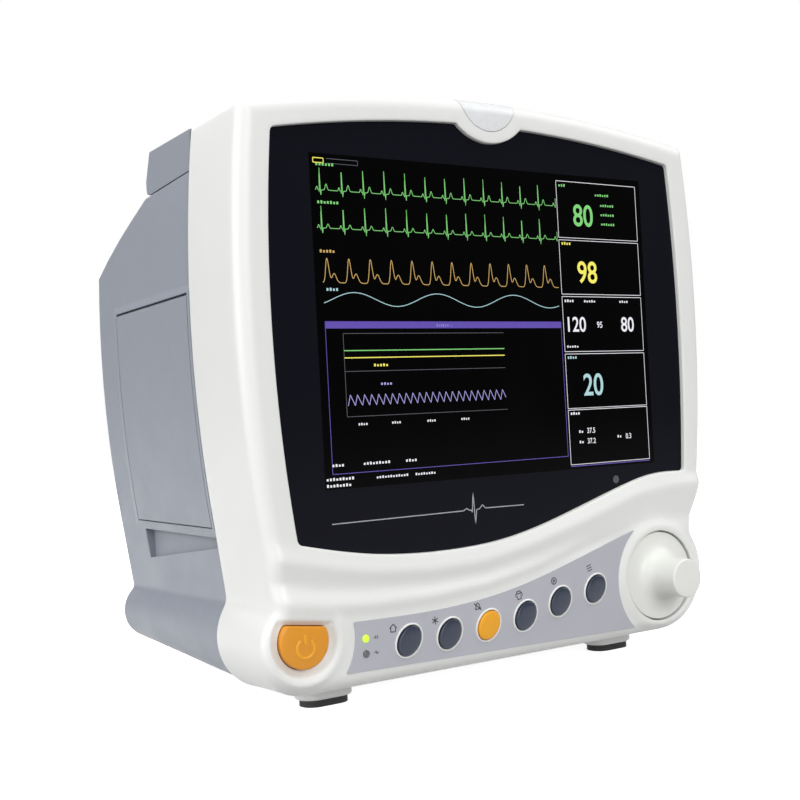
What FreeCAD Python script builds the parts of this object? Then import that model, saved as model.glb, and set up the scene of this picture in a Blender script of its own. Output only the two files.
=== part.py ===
import FreeCAD, Part
import math
import os

from FreeCAD import Vector

# Bedside patient monitor, millimetres.  +X is the viewer's right, the screen
# faces -Y, +Z is up.  Z = 0 is the table under the rubber feet, X = 0 the plane
# of symmetry and Y = 0 the middle of the overall depth.

os.makedirs("parts", exist_ok=True)

# ---- depths, along Y -------------------------------------------------------
BACK = 129.0           # rear-most point of the sockets and screws
SHELL_BACK = 127.5     # outer face of the rear wall
SEAM = -38.0           # joint between the front bezel and the rear housing
CAVITY = -93.5         # inner face of the bezel around the screen
LOWER_CAVITY = -96.5   # inner face of the bezel behind the controls
LENS_FRONT = -100.0    # outer face of the display lens
LENS_THICK = 3.0
LENS_HALF = 151.5      # half width of the lens
BEZEL_FRONT = -103.0   # flat front of the bezel
DECK_FRONT = -104.2    # raised deck that carries the keys
KNOB_TIP = -129.0      # end of the rotary knob

# ---- heights, along Z ------------------------------------------------------
BASE = 15.0            # underside of the bezel
FOOT_HEIGHT = 4.0      # rubber under the foot bosses
SCREEN_Z = 216.0       # middle of the 12.1 inch display

# ---- body sections ---------------------------------------------------------
# A section holds the lobe under the knob, the lobe under the power button and
# how far the sides lean in.  A lobe is centre (X, Z), radius and neck angle.
FRONT_SECTION = (((122.5, 52.75), 37.75, 40.0), ((-141.0, 40.75), 25.75, 128.0), 0.0)
SEAM_SECTION = (((114.5, 53.0), 43.0, 30.6), ((-132.5, 41.5), 31.5, 140.0), 0.0)
BACK_SECTION = (((120.0, 51.5), 33.0, 40.0), ((-138.2, 39.5), 21.0, 127.0), 3.5)
BASE_HALF = 95.0       # half width of the flat middle of the underside

# ---- walls and fits --------------------------------------------------------
WALL = 3.5             # bezel wall
SHELL_WALL = 2.6       # rear housing wall
CORNER = 6.5           # rounding of the outline's corners
FRONT_ROUND = 5.0      # rounding of the front edge
HOUSING_INSET = 1.5    # the housing stands inside the bezel outline by this
FIT = 0.25             # gap around lenses, lamps and labels
RUN_FIT = 0.05         # radial clearance of turning and sliding pins

# ---- controls --------------------------------------------------------------
KEY_CENTRES = [
    (-77.3, 36.5), (-49.5, 36.5), (-21.7, 37.7),
    (6.0, 39.6), (33.3, 44.7), (62.0, 49.0),
]
KEY_NAMES = ["main_key", "freeze_key", "silence_key", "record_key", "start_key", "menu_key"]
KEY_LONG = 9.0         # half length of a slanted oval key
KEY_SHORT = 6.95       # half width of a key
KEY_TILT = 48.0        # lean of the long axis from the horizontal
KEY_RIM = 1.6          # white collar around every key
KEY_PROUD = 2.2        # key top above the deck
POWER_CENTRE = (-142.6, 44.9)
POWER_RADIUS = 14.6
POWER_CHORD = 8.3      # flat top of the power button above its centre
POWER_DIP = 8.0        # the flat top dips to the right by this angle
POWER_PROUD = 1.1      # button face in front of the deck
KNOB_CENTRE = (118.0, 51.0)
KNOB_DISC = 28.0
KNOB_GRIP = 12.2
KNOB_RING = 35.0
SHAFT_RADIUS = 3.0
LAMP_CENTRES = [(-105.2, 41.5), (-105.3, 33.2)]
LAMP_RADIUS = 2.1
ALARM_RADIUS = 20.5
ALARM_Z = 350.2        # centre of the alarm lamp disc, above the top edge

WEB = 2.5              # wall across the bezel's back, in front of the handle
WEB_FOOT = 303.0       # its lower edge, just under the deck the handle lies on

# ---- two soft valleys that follow the lower edge of the lens ----------------
UPPER_VALLEY = [(-157.0, 79.0), (-100.0, 69.5), (-45.0, 66.0), (0.0, 69.5), (45.0, 80.0),
                (90.0, 93.0), (153.0, 98.0)]
LOWER_VALLEY = [(-157.0, 61.0), (-100.0, 56.5), (-45.0, 55.5), (0.0, 60.5), (45.0, 71.5),
                (90.0, 85.0)]
VALLEY_HALF = 8.0
VALLEY_DEPTH = 2.4

# ---- roof, carry handle and side door --------------------------------------
ROOF_SLOPE = ((-6.0, 325.0), (37.0, 305.4), (62.0, 296.2), (85.0, 287.2), (109.0, 276.4),
              (135.0, 263.0))    # (Y, Z) along the roof behind the handle
HANDLE_PIVOT = (33.0, 311.0)     # (Y, Z) of the handle pins
HANDLE_INNER = 149.0             # inner face of the handle arms, |X|
HANDLE_OUTER = 163.0             # outer face of the handle arms, |X|
HANDLE_PIN = 2.0
DOOR_PIVOT = (-167.75, 235.4)    # (X, Z) of the door hinge at the seam
DOOR_Y = (-34.0, 88.0)
DOOR_FOOT = 104.0                # lower edge of the door
DOOR_BARREL = 2.6
DOOR_PIN = 1.2
DOOR_GAP = 0.6
DOOR_WALL = 3.0
FRAME_PROUD = 1.4                # the door frame stands out from the side wall
FRAME_TOP = (239.0, 243.5)       # Z where its top bevel starts and ends
FRAME_FOOT = (103.4, 99.0)
FRAME_REAR = (90.0, 98.0)        # Y where its rear bevel starts and ends
SCOOP = ((-36.0, 98.0), (82.0, 98.0), (82.0, 79.0), (-36.0, 92.5))
SCOOP_FLOOR = -151.0

# ---- recorder behind the door ----------------------------------------------
PLATEN = (-150.0, 190.0)         # (X, Z) of the platen roller
ROLL = (-131.0, 146.0)           # (X, Z) of the paper roll
GEAR_MODULE = 0.8
PLATEN_TEETH = 24
PINION_TEETH = 12
MOTOR_LEAN = 45.0                # direction from the platen to the motor
RECORDER_WALLS = ((6.0, 8.0), (76.0, 78.0))

# ---- back and right side ---------------------------------------------------
SOCKET_BAY = (152.0, -5.0, 95.0, 95.0, 215.0)   # floor X, then Y and Z ranges
SOCKET_Y = 45.0
ECG_Z = 198.0
SPO2_Z = 168.0
TEMPERATURE_Z = (144.0, 127.0)
CUFF_Z = 108.0
INLET = (78.0, 60.0)             # (X, Z) of the mains inlet, then its neighbours
FUSES = [(107.0, 70.0), (107.0, 56.0)]
STUD = (44.0, 60.0)
NETWORK = (-30.0, 60.0)
SPEAKER = (-85.0, 110.0)
LABEL = (60.0, 170.0)
BOSSES = [(-140.0, 64.0), (138.0, 76.0), (-149.0, 254.0), (149.0, 254.0)]
FEET = ((109.0, -60.0), (85.0, 104.0))      # (X, Y) of the front and rear feet
FOOT_HALF = (14.5, 8.5)
MOUNT_PITCH = 100.0              # square of threaded inserts under the base
MOUNT_Y = 45.0
INSERT_RADIUS = 3.0
INSERT_TOP = 23.0
BATTERY_COVER = (-40.0, 40.0, 5.0, 85.0)    # X range, then Y range


# ---- small building blocks -------------------------------------------------
def at(x, z, y=0.0):
    return Vector(x, y, z)


def box(x0, x1, y0, y1, z0, z1):
    return Part.makeBox(x1 - x0, y1 - y0, z1 - z0, Vector(x0, y0, z0))


def rod_x(y, z, radius, x0, x1):
    return Part.makeCylinder(radius, x1 - x0, Vector(x0, y, z), Vector(1, 0, 0))


def rod_y(x, z, radius, y0, y1):
    return Part.makeCylinder(radius, y1 - y0, Vector(x, y0, z), Vector(0, 1, 0))


def rod_z(x, y, radius, z0, z1):
    return Part.makeCylinder(radius, z1 - z0, Vector(x, y, z0), Vector(0, 0, 1))


def fused(shapes):
    whole = shapes[0].fuse(shapes[1:]) if len(shapes) > 1 else shapes[0]
    return whole.removeSplitter()


def mirrored(shape):
    return shape.mirror(Vector(0, 0, 0), Vector(1, 0, 0))


def trace(start, *legs):
    """Closed outline in the XZ plane.  A leg is a list of points: one point ends
    a straight line, two are the middle and end of an arc, more are a smooth curve."""
    here = at(*start)
    edges = []
    for leg in legs:
        points = [here] + [at(*point) for point in leg]
        if len(leg) == 1:
            edges.append(Part.makeLine(points[0], points[1]))
        elif len(leg) == 2:
            edges.append(Part.Arc(*points).toShape())
        else:
            curve = Part.BSplineCurve()
            curve.interpolate(points)
            edges.append(curve.toShape())
        here = points[-1]
    return Part.Wire(edges)


def loft(wires, depths):
    """Solid between two outlines with the same number of edges."""
    placed = []
    for wire, y in zip(wires, depths):
        section = wire.copy()
        section.translate(Vector(0, y, 0))
        placed.append(section)
    return Part.makeLoft(placed, True, True)


def prism(wire, y0, y1):
    face = Part.Face(wire)
    face.translate(Vector(0, y0, 0))
    return face.extrude(Vector(0, y1 - y0, 0))


def polygon_x(points, x0, x1):
    """Solid from (Y, Z) corner points, extruded along X."""
    corners = [Vector(x0, y, z) for y, z in points]
    face = Part.Face(Part.makePolygon(corners + corners[:1]))
    return face.extrude(Vector(x1 - x0, 0, 0))


def rounded_box(x0, x1, y0, y1, z0, z1, radius, axis):
    """Box with its four edges along one axis rounded."""
    solid = box(x0, x1, y0, y1, z0, z1)
    edges = [e for e in solid.Edges if abs(abs(e.tangentAt(0).dot(axis)) - 1.0) < 1e-6]
    return solid.makeFillet(radius, edges)


def turned(profile, x, z):
    """Solid of revolution about a line along Y; profile is (radius, y) points."""
    points = [Vector(radius, y, 0) for radius, y in profile]
    face = Part.Face(Part.makePolygon(points + points[:1]))
    solid = face.revolve(Vector(0, 0, 0), Vector(0, 1, 0), 360)
    solid.translate(Vector(x, 0, z))
    return solid


def gear(x, z, teeth, y0, y1, bore, phase):
    """Spur gear with straight-sided teeth, thinned for running clearance."""
    pitch = GEAR_MODULE * teeth / 2.0
    root = pitch - 1.2 * GEAR_MODULE
    tip = pitch + 0.85 * GEAR_MODULE
    blank = rod_y(x, z, root, y0, y1)
    solids = [blank]
    root_half = 0.24 * 2.0 * math.pi / teeth
    tip_half = 0.10 * 2.0 * math.pi / teeth
    for i in range(teeth):
        middle = phase + 2.0 * math.pi * i / teeth
        corners = [
            (root - 0.3, middle - root_half), (tip, middle - tip_half),
            (tip, middle + tip_half), (root - 0.3, middle + root_half),
        ]
        points = [at(x + r * math.cos(a), z + r * math.sin(a)) for r, a in corners]
        solids.append(prism(Part.makePolygon(points + points[:1]), y0, y1))
    return fused(solids).cut(rod_y(x, z, bore, y0 - 1, y1 + 1))


def save(name, *solids):
    """One file per named piece; several separate solids make one group."""
    shape = solids[0] if len(solids) == 1 else Part.makeCompound(list(solids))
    shape.exportStep("parts/" + name + ".step")


# ---- outlines seen from the front ------------------------------------------
def on_circle(centre, radius, degrees):
    angle = math.radians(degrees)
    return centre[0] + radius * math.cos(angle), centre[1] + radius * math.sin(angle)


def section(station, inset):
    """Arched top, bulging sides, and a round lobe at each lower corner."""
    knob, power, lean = station
    knob = (knob[0], knob[1] - inset, knob[2])
    power = (power[0], power[1] - inset, power[2])
    side = inset + lean
    return trace(
        (-164.0 + side, 333.9 - inset),
        [(0.0, 348.5 - inset), (164.0 - side, 333.9 - inset)],
        [(170.5 - side, 221.0), (161.8 - side, 103.0)],
        [on_circle(knob[0], knob[1], knob[2])],
        [on_circle(knob[0], knob[1], -25.0), on_circle(knob[0], knob[1], -90.0)],
        [(BASE_HALF, BASE + inset)],
        [(-BASE_HALF, BASE + inset)],
        [on_circle(power[0], power[1], -90.0)],
        [on_circle(power[0], power[1], 200.0), on_circle(power[0], power[1], power[2])],
        [(-161.8 + side, 103.0)],
        [(-170.5 + side, 221.0), (-164.0 + side, 333.9 - inset)],
    )


def round_corners(solid, radius, depth):
    """Rounds the upper corners and the necks above the lobes, which run the
    whole depth; the sides already meet their lower straights almost smoothly."""
    corners = []
    for edge in solid.Edges:
        bounds = edge.BoundBox
        full = abs(bounds.YLength - depth) < 1e-3
        if full and bounds.ZMin > 50.0 and abs(bounds.ZMin - 103.0) > 5.0:
            corners.append(edge)
    return solid.makeFillet(radius, corners)


def lens_outline():
    return trace(
        (-143.5, 320.3),
        [(-80.0, 329.0), (-24.0, 332.6)],
        [(0.0, 322.5), (24.0, 332.6)],
        [(80.0, 329.0), (143.5, 320.3)],
        [(146.0, 319.3), (147.0, 317.0)],
        [(151.5, 211.0), (147.6, 119.5)],
        [(146.8, 117.6), (145.0, 117.0)],
        [(120.0, 116.5), (90.0, 110.0), (45.0, 97.0), (0.0, 86.7), (-45.0, 83.6),
         (-100.0, 87.2), (-140.0, 95.4)],
        [(-142.0, 96.6), (-142.8, 98.6)],
        [(-151.5, 211.0), (-147.0, 317.0)],
        [(-146.0, 319.3), (-143.5, 320.3)],
    )


def label_outline(grow):
    """The control label runs between the power button and the knob."""
    left, right = -112.4 - grow, 98.0 + grow
    return trace(
        (left, 51.5 + grow),
        [(-55.0, 51.2 + grow), (0.0, 57.0 + grow), (45.0, 67.8 + grow), (right, 82.2 + grow)],
        [(81.8 + grow, 51.0), (94.0 + grow, 20.5 - grow)],
        [(-118.7 - grow, 24.0 - grow)],
        [(-112.5 - grow, 37.2), (left, 51.5 + grow)],
    )


def key_outline(x, z, grow):
    """Slanted oval seen from the front."""
    oval = Part.Ellipse(Vector(0, 0, 0), KEY_LONG + grow, KEY_SHORT + grow)
    wire = Part.Wire([oval.toShape()])
    wire.rotate(Vector(0, 0, 0), Vector(1, 0, 0), 90)
    wire.rotate(Vector(0, 0, 0), Vector(0, 1, 0), -KEY_TILT)
    wire.translate(Vector(x, 0, z))
    return wire


def power_outline(grow):
    """Round button with a flat top that dips a little to the right."""
    radius = POWER_RADIUS + grow
    rise = math.degrees(math.asin((POWER_CHORD + grow) / radius))
    left = on_circle(POWER_CENTRE, radius, 180.0 - rise - POWER_DIP)
    right = on_circle(POWER_CENTRE, radius, rise - POWER_DIP)
    lowest = on_circle(POWER_CENTRE, radius, -90.0 - POWER_DIP)
    return trace(left, [right], [lowest, left])


# ---- front bezel -----------------------------------------------------------
def groove(points, half_width, depth):
    """Valley in the front face: its floor follows the points, its two long
    sides slope up to the face above and below."""
    rails = []
    for rise, y in ((half_width, BEZEL_FRONT - 0.4), (0.0, BEZEL_FRONT + depth),
                    (-half_width, BEZEL_FRONT - 0.4)):
        rail = Part.BSplineCurve()
        rail.interpolate([at(x, z + rise, y) for x, z in points])
        rails.append(rail.toShape())
    faces = [Part.makeRuledSurface(rails[i], rails[(i + 1) % 3]) for i in range(3)]
    for end in (0, -1):
        corners = [rail.Vertexes[end].Point for rail in rails]
        faces.append(Part.Face(Part.makePolygon(corners + corners[:1])))
    valley = Part.Solid(Part.Shell(faces))
    valley.fix(1e-4, 1e-4, 1e-4)
    return valley


def bezel_block(inset):
    return loft([section(FRONT_SECTION, inset), section(SEAM_SECTION, inset)],
                [BEZEL_FRONT, SEAM])


def bezel_body():
    solid = round_corners(bezel_block(0.0), CORNER, SEAM - BEZEL_FRONT)
    front = [e for e in solid.Edges if abs(e.BoundBox.YMax - BEZEL_FRONT) < 1e-3]
    return solid.makeFillet(FRONT_ROUND, front)


def control_deck():
    """Raised pad under the label, the power lobe and the knob ring."""
    pad = prism(label_outline(2.0), DECK_FRONT, BEZEL_FRONT + 1.0)
    x, z = POWER_CENTRE
    lobe = rod_y(x, z - 1.5, 24.5, DECK_FRONT, BEZEL_FRONT + 1.0)
    kx, kz = KNOB_CENTRE
    ring = rod_y(kx, kz, KNOB_RING, DECK_FRONT - 1.5, BEZEL_FRONT + 1.0)
    return [pad, lobe, ring]


def foot_boss(x, y, z_top):
    half_x, half_y = FOOT_HALF[0] + 2.5, FOOT_HALF[1] + 1.5
    return rounded_box(x - half_x, x + half_x, y - half_y, y + half_y, FOOT_HEIGHT, z_top,
                       9.0, Vector(0, 0, 1))


def front_bezel():
    body = bezel_body()
    for points in (UPPER_VALLEY, LOWER_VALLEY):
        body = body.cut(groove(points, VALLEY_HALF, VALLEY_DEPTH))
    body = fused([body] + control_deck())
    cavity = bezel_block(WALL)
    body = body.cut(cavity.common(box(-175, 175, CAVITY, SEAM, 0, 400)))
    body = body.cut(cavity.common(box(-175, 175, LOWER_CAVITY, CAVITY + 1.0, 0, 78)))

    # web that closes the front of the handle channel
    web = box(-175, 175, SEAM - WEB, SEAM, WEB_FOOT, 400)
    body = body.fuse(bezel_block(WALL - 0.5).common(web))

    # lens pocket, display window and alarm lamp opening
    body = body.cut(prism(lens_outline(), BEZEL_FRONT - 4.0, LENS_FRONT + LENS_THICK))
    body = body.cut(box(-125, 125, -110, -80, SCREEN_Z - 94, SCREEN_Z + 94))
    body = body.cut(alarm_lamp(FIT))

    # keys, each in a white collar
    for x, z in KEY_CENTRES:
        collar = prism(key_outline(x, z, KEY_RIM), DECK_FRONT - 0.9, DECK_FRONT + 0.5)
        body = body.fuse(collar)
        body = body.cut(prism(key_outline(x, z, 0.2), -115, -90))

    # power button in its dished ring
    x, z = POWER_CENTRE
    dish = turned([(0, -112), (27.0, -112), (22.0, DECK_FRONT), (16.6, DECK_FRONT + 3.0),
                   (0, DECK_FRONT + 3.0)], x, z)
    body = body.cut(dish).cut(prism(power_outline(0.3), -115, -90))

    # status lamps
    for x, z in LAMP_CENTRES:
        body = body.cut(rod_y(x, z, LAMP_RADIUS + RUN_FIT, -115, -90))

    # knob recess and encoder bushing hole
    x, z = KNOB_CENTRE
    body = body.fuse(rod_y(x, z, 33.0, LOWER_CAVITY - 0.5, LOWER_CAVITY + 2.5))
    body = body.cut(rod_y(x, z, KNOB_DISC + 0.9, -112, -97.5))
    body = body.cut(rod_y(x, z, 3.6, -112, -80))

    # foot bosses, screw bosses and display posts
    foot_x, foot_y = FEET[0]
    for side in (-1, 1):
        body = body.fuse(foot_boss(side * foot_x, foot_y, BASE + 1.0))
        body = body.cut(rod_z(side * foot_x, foot_y, 3.0 + RUN_FIT, FOOT_HEIGHT - 1, 9.0))
    for bx, bz in BOSSES:
        post = rod_y(bx, bz, 6.0, CAVITY - 3.1, SEAM).cut(rod_y(bx, bz, 2.0, -62, SEAM))
        body = body.fuse(post)
    for px, pz in display_posts():
        post = rod_y(px, pz, 3.5, CAVITY - 1.0, -81.5).cut(rod_y(px, pz, 1.25, -90, -81.5))
        body = body.fuse(post)
    return body.removeSplitter()


def display_posts():
    return [(sx * 144.0, SCREEN_Z + dz) for sx in (-1, 1) for dz in (-70.0, 85.0)]


def display_lens():
    """Plate of dark glass, a little smaller all round than its pocket."""
    lens = prism(lens_outline(), LENS_FRONT, LENS_FRONT + LENS_THICK)
    lens.scale(1.0 - FIT / LENS_HALF, Vector(0, LENS_FRONT, SCREEN_Z))
    return lens


def alarm_lamp(grow):
    """Half-disc lamp hanging from the top edge of the bezel."""
    return rod_y(0, ALARM_Z, ALARM_RADIUS + grow, BEZEL_FRONT - 2.0, BEZEL_FRONT + 11.0)


def alarm_lamp_lens():
    """Follows the arched top edge of the bezel and its rounded front."""
    return alarm_lamp(0.0).common(bezel_body())


def alarm_lamp_board():
    board = box(-22, 22, -89.5, -88.0, 326, 342)
    leds = [rod_y(x, 338, 2.5, -90.7, -89.5) for x in (-11.0, 0.0, 11.0)]
    return fused([board] + leds)


# ---- controls --------------------------------------------------------------
def control_label():
    label = prism(label_outline(0.0), DECK_FRONT - 0.4, DECK_FRONT)
    for x, z in KEY_CENTRES:
        label = label.cut(prism(key_outline(x, z, KEY_RIM + 0.1), -110, -100))
    for x, z in LAMP_CENTRES:
        label = label.cut(rod_y(x, z, LAMP_RADIUS + 0.2, -110, -100))
    return label


def key(x, z):
    """Oval cap with a retaining flange and a stem that reaches its switch."""
    front = DECK_FRONT - KEY_PROUD
    cap = prism(key_outline(x, z, 0.0), front, LOWER_CAVITY + 0.6)
    top = [e for e in cap.Edges if abs(e.BoundBox.YMax - front) < 1e-3]
    cap = cap.makeFillet(0.9, top)
    flange = prism(key_outline(x, z, 1.2), LOWER_CAVITY + 0.3, LOWER_CAVITY + 1.3)
    stem = rod_y(x, z, 2.0, LOWER_CAVITY + 1.3, -93.2)
    return fused([cap, flange, stem])


def power_button():
    front = DECK_FRONT - POWER_PROUD
    cap = prism(power_outline(0.0), front, LOWER_CAVITY + 0.6)
    top = [e for e in cap.Edges if abs(e.BoundBox.YMax - front) < 1e-3]
    cap = cap.makeFillet(1.0, top)
    flange = prism(power_outline(1.4), LOWER_CAVITY + 0.3, LOWER_CAVITY + 1.3)
    x, z = POWER_CENTRE
    stem = rod_y(x, z, 2.5, LOWER_CAVITY + 1.3, -93.2)
    return fused([cap, flange, stem])


def menu_knob():
    """Wide disc flowing through a hollow curve into a round grip."""
    x, z = KNOB_CENTRE
    profile = [(SHAFT_RADIUS + 0.02, -98.4), (KNOB_DISC, -98.4), (KNOB_DISC, -103.2),
               (KNOB_DISC - 1.2, -104.4), (22.0, -104.6), (17.2, -106.2), (14.2, -109.0),
               (12.7, -113.0), (KNOB_GRIP, -118.0), (KNOB_GRIP, KNOB_TIP + 1.2),
               (KNOB_GRIP - 1.2, KNOB_TIP), (0.0, KNOB_TIP), (0.0, -115.0),
               (SHAFT_RADIUS + 0.02, -115.0)]
    knob = turned(profile, x, z)
    well = rod_y(x, z, 8.0, -101.2, -98.0).cut(rod_y(x, z, SHAFT_RADIUS + 0.02, -102, -97))
    return knob.cut(well)


def encoder_body():
    x, z = KNOB_CENTRE
    can = box(x - 7, x + 7, LOWER_CAVITY + 2.6, -84.0, z - 7, z + 7)
    bushing = rod_y(x, z, 3.5, -99.6, LOWER_CAVITY + 2.6)
    solid = fused([can, bushing])
    solid = solid.cut(rod_y(x, z, 2.5 + RUN_FIT, -101, -90))
    return solid.cut(rod_y(x, z, 4.4, -90.0, -86.0))


def encoder_shaft():
    x, z = KNOB_CENTRE
    stem = rod_y(x, z, 2.5, -100.4, -88.6)
    spigot = rod_y(x, z, SHAFT_RADIUS, -114.8, -100.4)
    return fused([stem, spigot])


def encoder_plunger():
    """Push contact behind the shaft; it travels with the knob when pressed."""
    x, z = KNOB_CENTRE
    return rod_y(x, z, 4.3, -88.5, -87.2)


def encoder_nut():
    x, z = KNOB_CENTRE
    points = [at(x + 6.0 * math.cos(i * math.pi / 3), z + 6.0 * math.sin(i * math.pi / 3))
              for i in range(7)]
    return prism(Part.makePolygon(points), -99.3, -97.6).cut(rod_y(x, z, 3.55, -101, -96))


def lamp_lens(x, z):
    """Light pipe from the keypad board to the label."""
    dome = rod_y(x, z, LAMP_RADIUS, DECK_FRONT - 0.8, LOWER_CAVITY + 1.0)
    return dome.fuse(rod_y(x, z, LAMP_RADIUS + 1.0, LOWER_CAVITY, LOWER_CAVITY + 1.0))


def keypad_board():
    board = box(-152, 96, -91.0, -89.4, 22, 60)
    return board.cut(rod_y(BOSSES[0][0], BOSSES[0][1], 6.3, -95, -85))


def keypad_switches():
    switches = []
    for x, z in KEY_CENTRES + [POWER_CENTRE]:
        can = box(x - 3, x + 3, -92.1, -91.0, z - 3, z + 3)
        switches.append(can)
    return switches


# ---- display ---------------------------------------------------------------
def lcd_panel():
    return box(-138.0, 138.0, CAVITY + 0.5, -84.0, SCREEN_Z - 104, SCREEN_Z + 104)


def display_bracket():
    """Folded steel frame that clamps the display to the bezel."""
    plate = box(-150, 150, -81.5, -80.3, SCREEN_Z - 98, SCREEN_Z + 98)
    plate = plate.cut(box(-110, 110, -85, -75, SCREEN_Z - 70, SCREEN_Z + 70))
    lips = [box(-138, 138, -84.0, -81.5, SCREEN_Z + dz - 2, SCREEN_Z + dz + 2)
            for dz in (-90.0, 90.0)]
    frame = fused([plate] + lips)
    for px, pz in display_posts():
        frame = frame.cut(rod_y(px, pz, 1.6, -85, -75))
    for bx, bz in BOSSES:
        frame = frame.cut(rod_y(bx, bz, 6.5, -85, -75))
    return frame


def display_screws():
    screws = []
    for px, pz in display_posts():
        head = rod_y(px, pz, 2.6, -80.3, -78.5)
        screws.append(fused([head, rod_y(px, pz, 1.25, -88.0, -80.3)]))
    return screws


def display_driver_board():
    return box(-70, 70, -77.5, -75.9, 232, 282)


# ---- rear housing ----------------------------------------------------------
def top_cut(inset):
    """Everything above the arched deck and the sloping rear of the roof."""
    drop = Vector(0, 0, -inset)
    deck = prism(trace((-175.0, 307.4), [(0.0, 324.0), (175.0, 307.4)],
                       [(175.0, 400.0)], [(-175.0, 400.0)], [(-175.0, 307.4)]), -45, 135)
    roof = list(ROOF_SLOPE)
    slope = polygon_x(roof + [(roof[-1][0], 400.0), (roof[0][0], 400.0)], -180, 180)
    cuts = [deck, slope]
    for shape in cuts:
        shape.translate(drop)
    rear = ROOF_SLOPE[1][0] + inset
    channel_points = [(-45.0, 308.2), (rear, 305.4), (rear, 400.0), (-45.0, 400.0)]
    channel = polygon_x(channel_points, HANDLE_INNER - 0.7 - inset, 180)
    channel.translate(drop)
    return cuts + [channel, mirrored(channel)]


def side_block(inset, front):
    """The rear body without its roof shape; a negative inset stands proud."""
    wires = [section(SEAM_SECTION, HOUSING_INSET + inset), section(BACK_SECTION, HOUSING_INSET + inset)]
    return loft(wires, [front, SHELL_BACK])


def housing_block(inset, front):
    block = side_block(inset, front)
    if inset == 0.0:
        block = round_corners(block, CORNER - HOUSING_INSET, SHELL_BACK - front)
    block = block.common(box(-180, 180, front, SHELL_BACK - inset, 0, 400))
    for cut in top_cut(inset):
        block = block.cut(cut)
    return block


def hinge_lugs():
    """Round lugs beside the handle arms that hold the handle pins."""
    y, z = HANDLE_PIVOT
    round_part = rod_x(y, z, 5.5, 134.0, 147.5)
    foot = box(134.0, 147.5, y - 5.5, y + 5.5, z - 12.0, z)
    lug = fused([round_part, foot]).cut(rod_x(y, z, HANDLE_PIN, 136.0, 150.0))
    return [lug, mirrored(lug)]


def door_line():
    """Direction of the hinge: it leans in with the side wall."""
    return Vector(BACK_SECTION[2], SHELL_BACK - SEAM, 0).normalize()


def door_rod(radius, y0, y1):
    """Cylinder on the hinge line between two depths."""
    x, z = DOOR_PIVOT
    line = door_line()
    start = Vector(x, SEAM, z) + line * ((y0 - SEAM) / line.y)
    return Part.makeCylinder(radius, (y1 - y0) / line.y, start, line)


def along_wall(points, y0, y1):
    """Prism from (X, Z) points at the seam that leans in with the side wall."""
    line = door_line()
    corners = [at(x, z, SEAM) + line * ((y0 - SEAM) / line.y) for x, z in points]
    face = Part.Face(Part.makePolygon(corners + corners[:1]))
    return face.extrude(line * ((y1 - y0) / line.y))


def door_frame():
    """Raised panel round the door, with bevels above, below and behind it."""
    rear_start, rear_end = FRAME_REAR
    tall = (FRAME_FOOT[1], FRAME_TOP[1])
    flat = side_block(-FRAME_PROUD, SEAM)
    flat = flat.common(box(-180, -150, SEAM, rear_start, *tall))
    share = (rear_start - SEAM) / (SHELL_BACK - SEAM)
    slope = BACK_SECTION[2] * share, BACK_SECTION[2] * (rear_end - SEAM) / (SHELL_BACK - SEAM)
    behind = []
    for lean, inset in zip(slope, (-FRAME_PROUD, 0.05)):
        behind.append(section(SEAM_SECTION[:2] + (lean,), HOUSING_INSET + inset))
    ramp = loft(behind, [rear_start, rear_end]).common(box(-180, -150, rear_start, rear_end, *tall))
    frame = fused([flat, ramp])
    for start, end in (FRAME_TOP, FRAME_FOOT):
        reach = wall_reach(start) + FRAME_PROUD
        beyond = 2.0 * end - start
        points = [(-reach, start), (-wall_reach(end) + 0.05, end), (-180.0, beyond), (-180.0, start)]
        frame = frame.cut(along_wall(points, SEAM - 1.0, rear_end + 1.0))
    return frame


def wall_reach(z):
    """Half width of the rear body at the seam, on the arc of its bulging side."""
    side = Part.Arc(at(164.0, 333.9), at(170.5, 221.0), at(161.8, 103.0)).toShape().Curve
    reach = math.sqrt(side.Radius ** 2 - (z - side.Center.z) ** 2)
    return side.Center.x + reach - HOUSING_INSET


def door_region(gap):
    """Block that the door is cut from, and with a gap its opening."""
    top = DOOR_PIVOT[1] + DOOR_BARREL + gap
    return box(-180, -155, DOOR_Y[0] - gap, DOOR_Y[1] + gap, DOOR_FOOT - gap, top)


def finger_scoop(grow):
    """Tapered pocket under the door frame."""
    (y0, top), (y1, _), (_, deep), (_, shallow) = SCOOP
    points = [(y0 - grow, top + grow), (y1 + grow, top + grow), (y1 + grow, deep - grow),
              (y0 - grow, shallow - grow)]
    return polygon_x(points, -175, SCOOP_FLOOR + grow)


def add_door_opening(shell, block):
    """Finger scoop, side door opening and the two bosses of its hinge pin."""
    pocket = finger_scoop(SHELL_WALL).common(block)
    shell = shell.fuse(pocket).cut(finger_scoop(0.0))
    shell = shell.cut(door_region(DOOR_GAP))
    limits = side_block(-FRAME_PROUD, SEAM)
    for y0, y1 in ((SEAM, DOOR_Y[0] - DOOR_GAP), (DOOR_Y[1] + DOOR_GAP, DOOR_Y[1] + 7.0)):
        shell = shell.fuse(door_rod(3.4, y0, y1).common(limits))
    return shell.cut(door_rod(DOOR_PIN, DOOR_Y[0] - 3.0, DOOR_Y[1] + 4.0))


def add_socket_bay(shell, block):
    """Recess on the right with a hole for every patient socket."""
    floor, y0, y1, z0, z1 = SOCKET_BAY
    bay = box(floor - 3, 175, y0 - 3, y1 + 3, z0 - 3, z1 + 3).common(block)
    shell = shell.fuse(bay).cut(box(floor, 180, y0, y1, z0, z1))
    return shell.cut(socket_holes())


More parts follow.
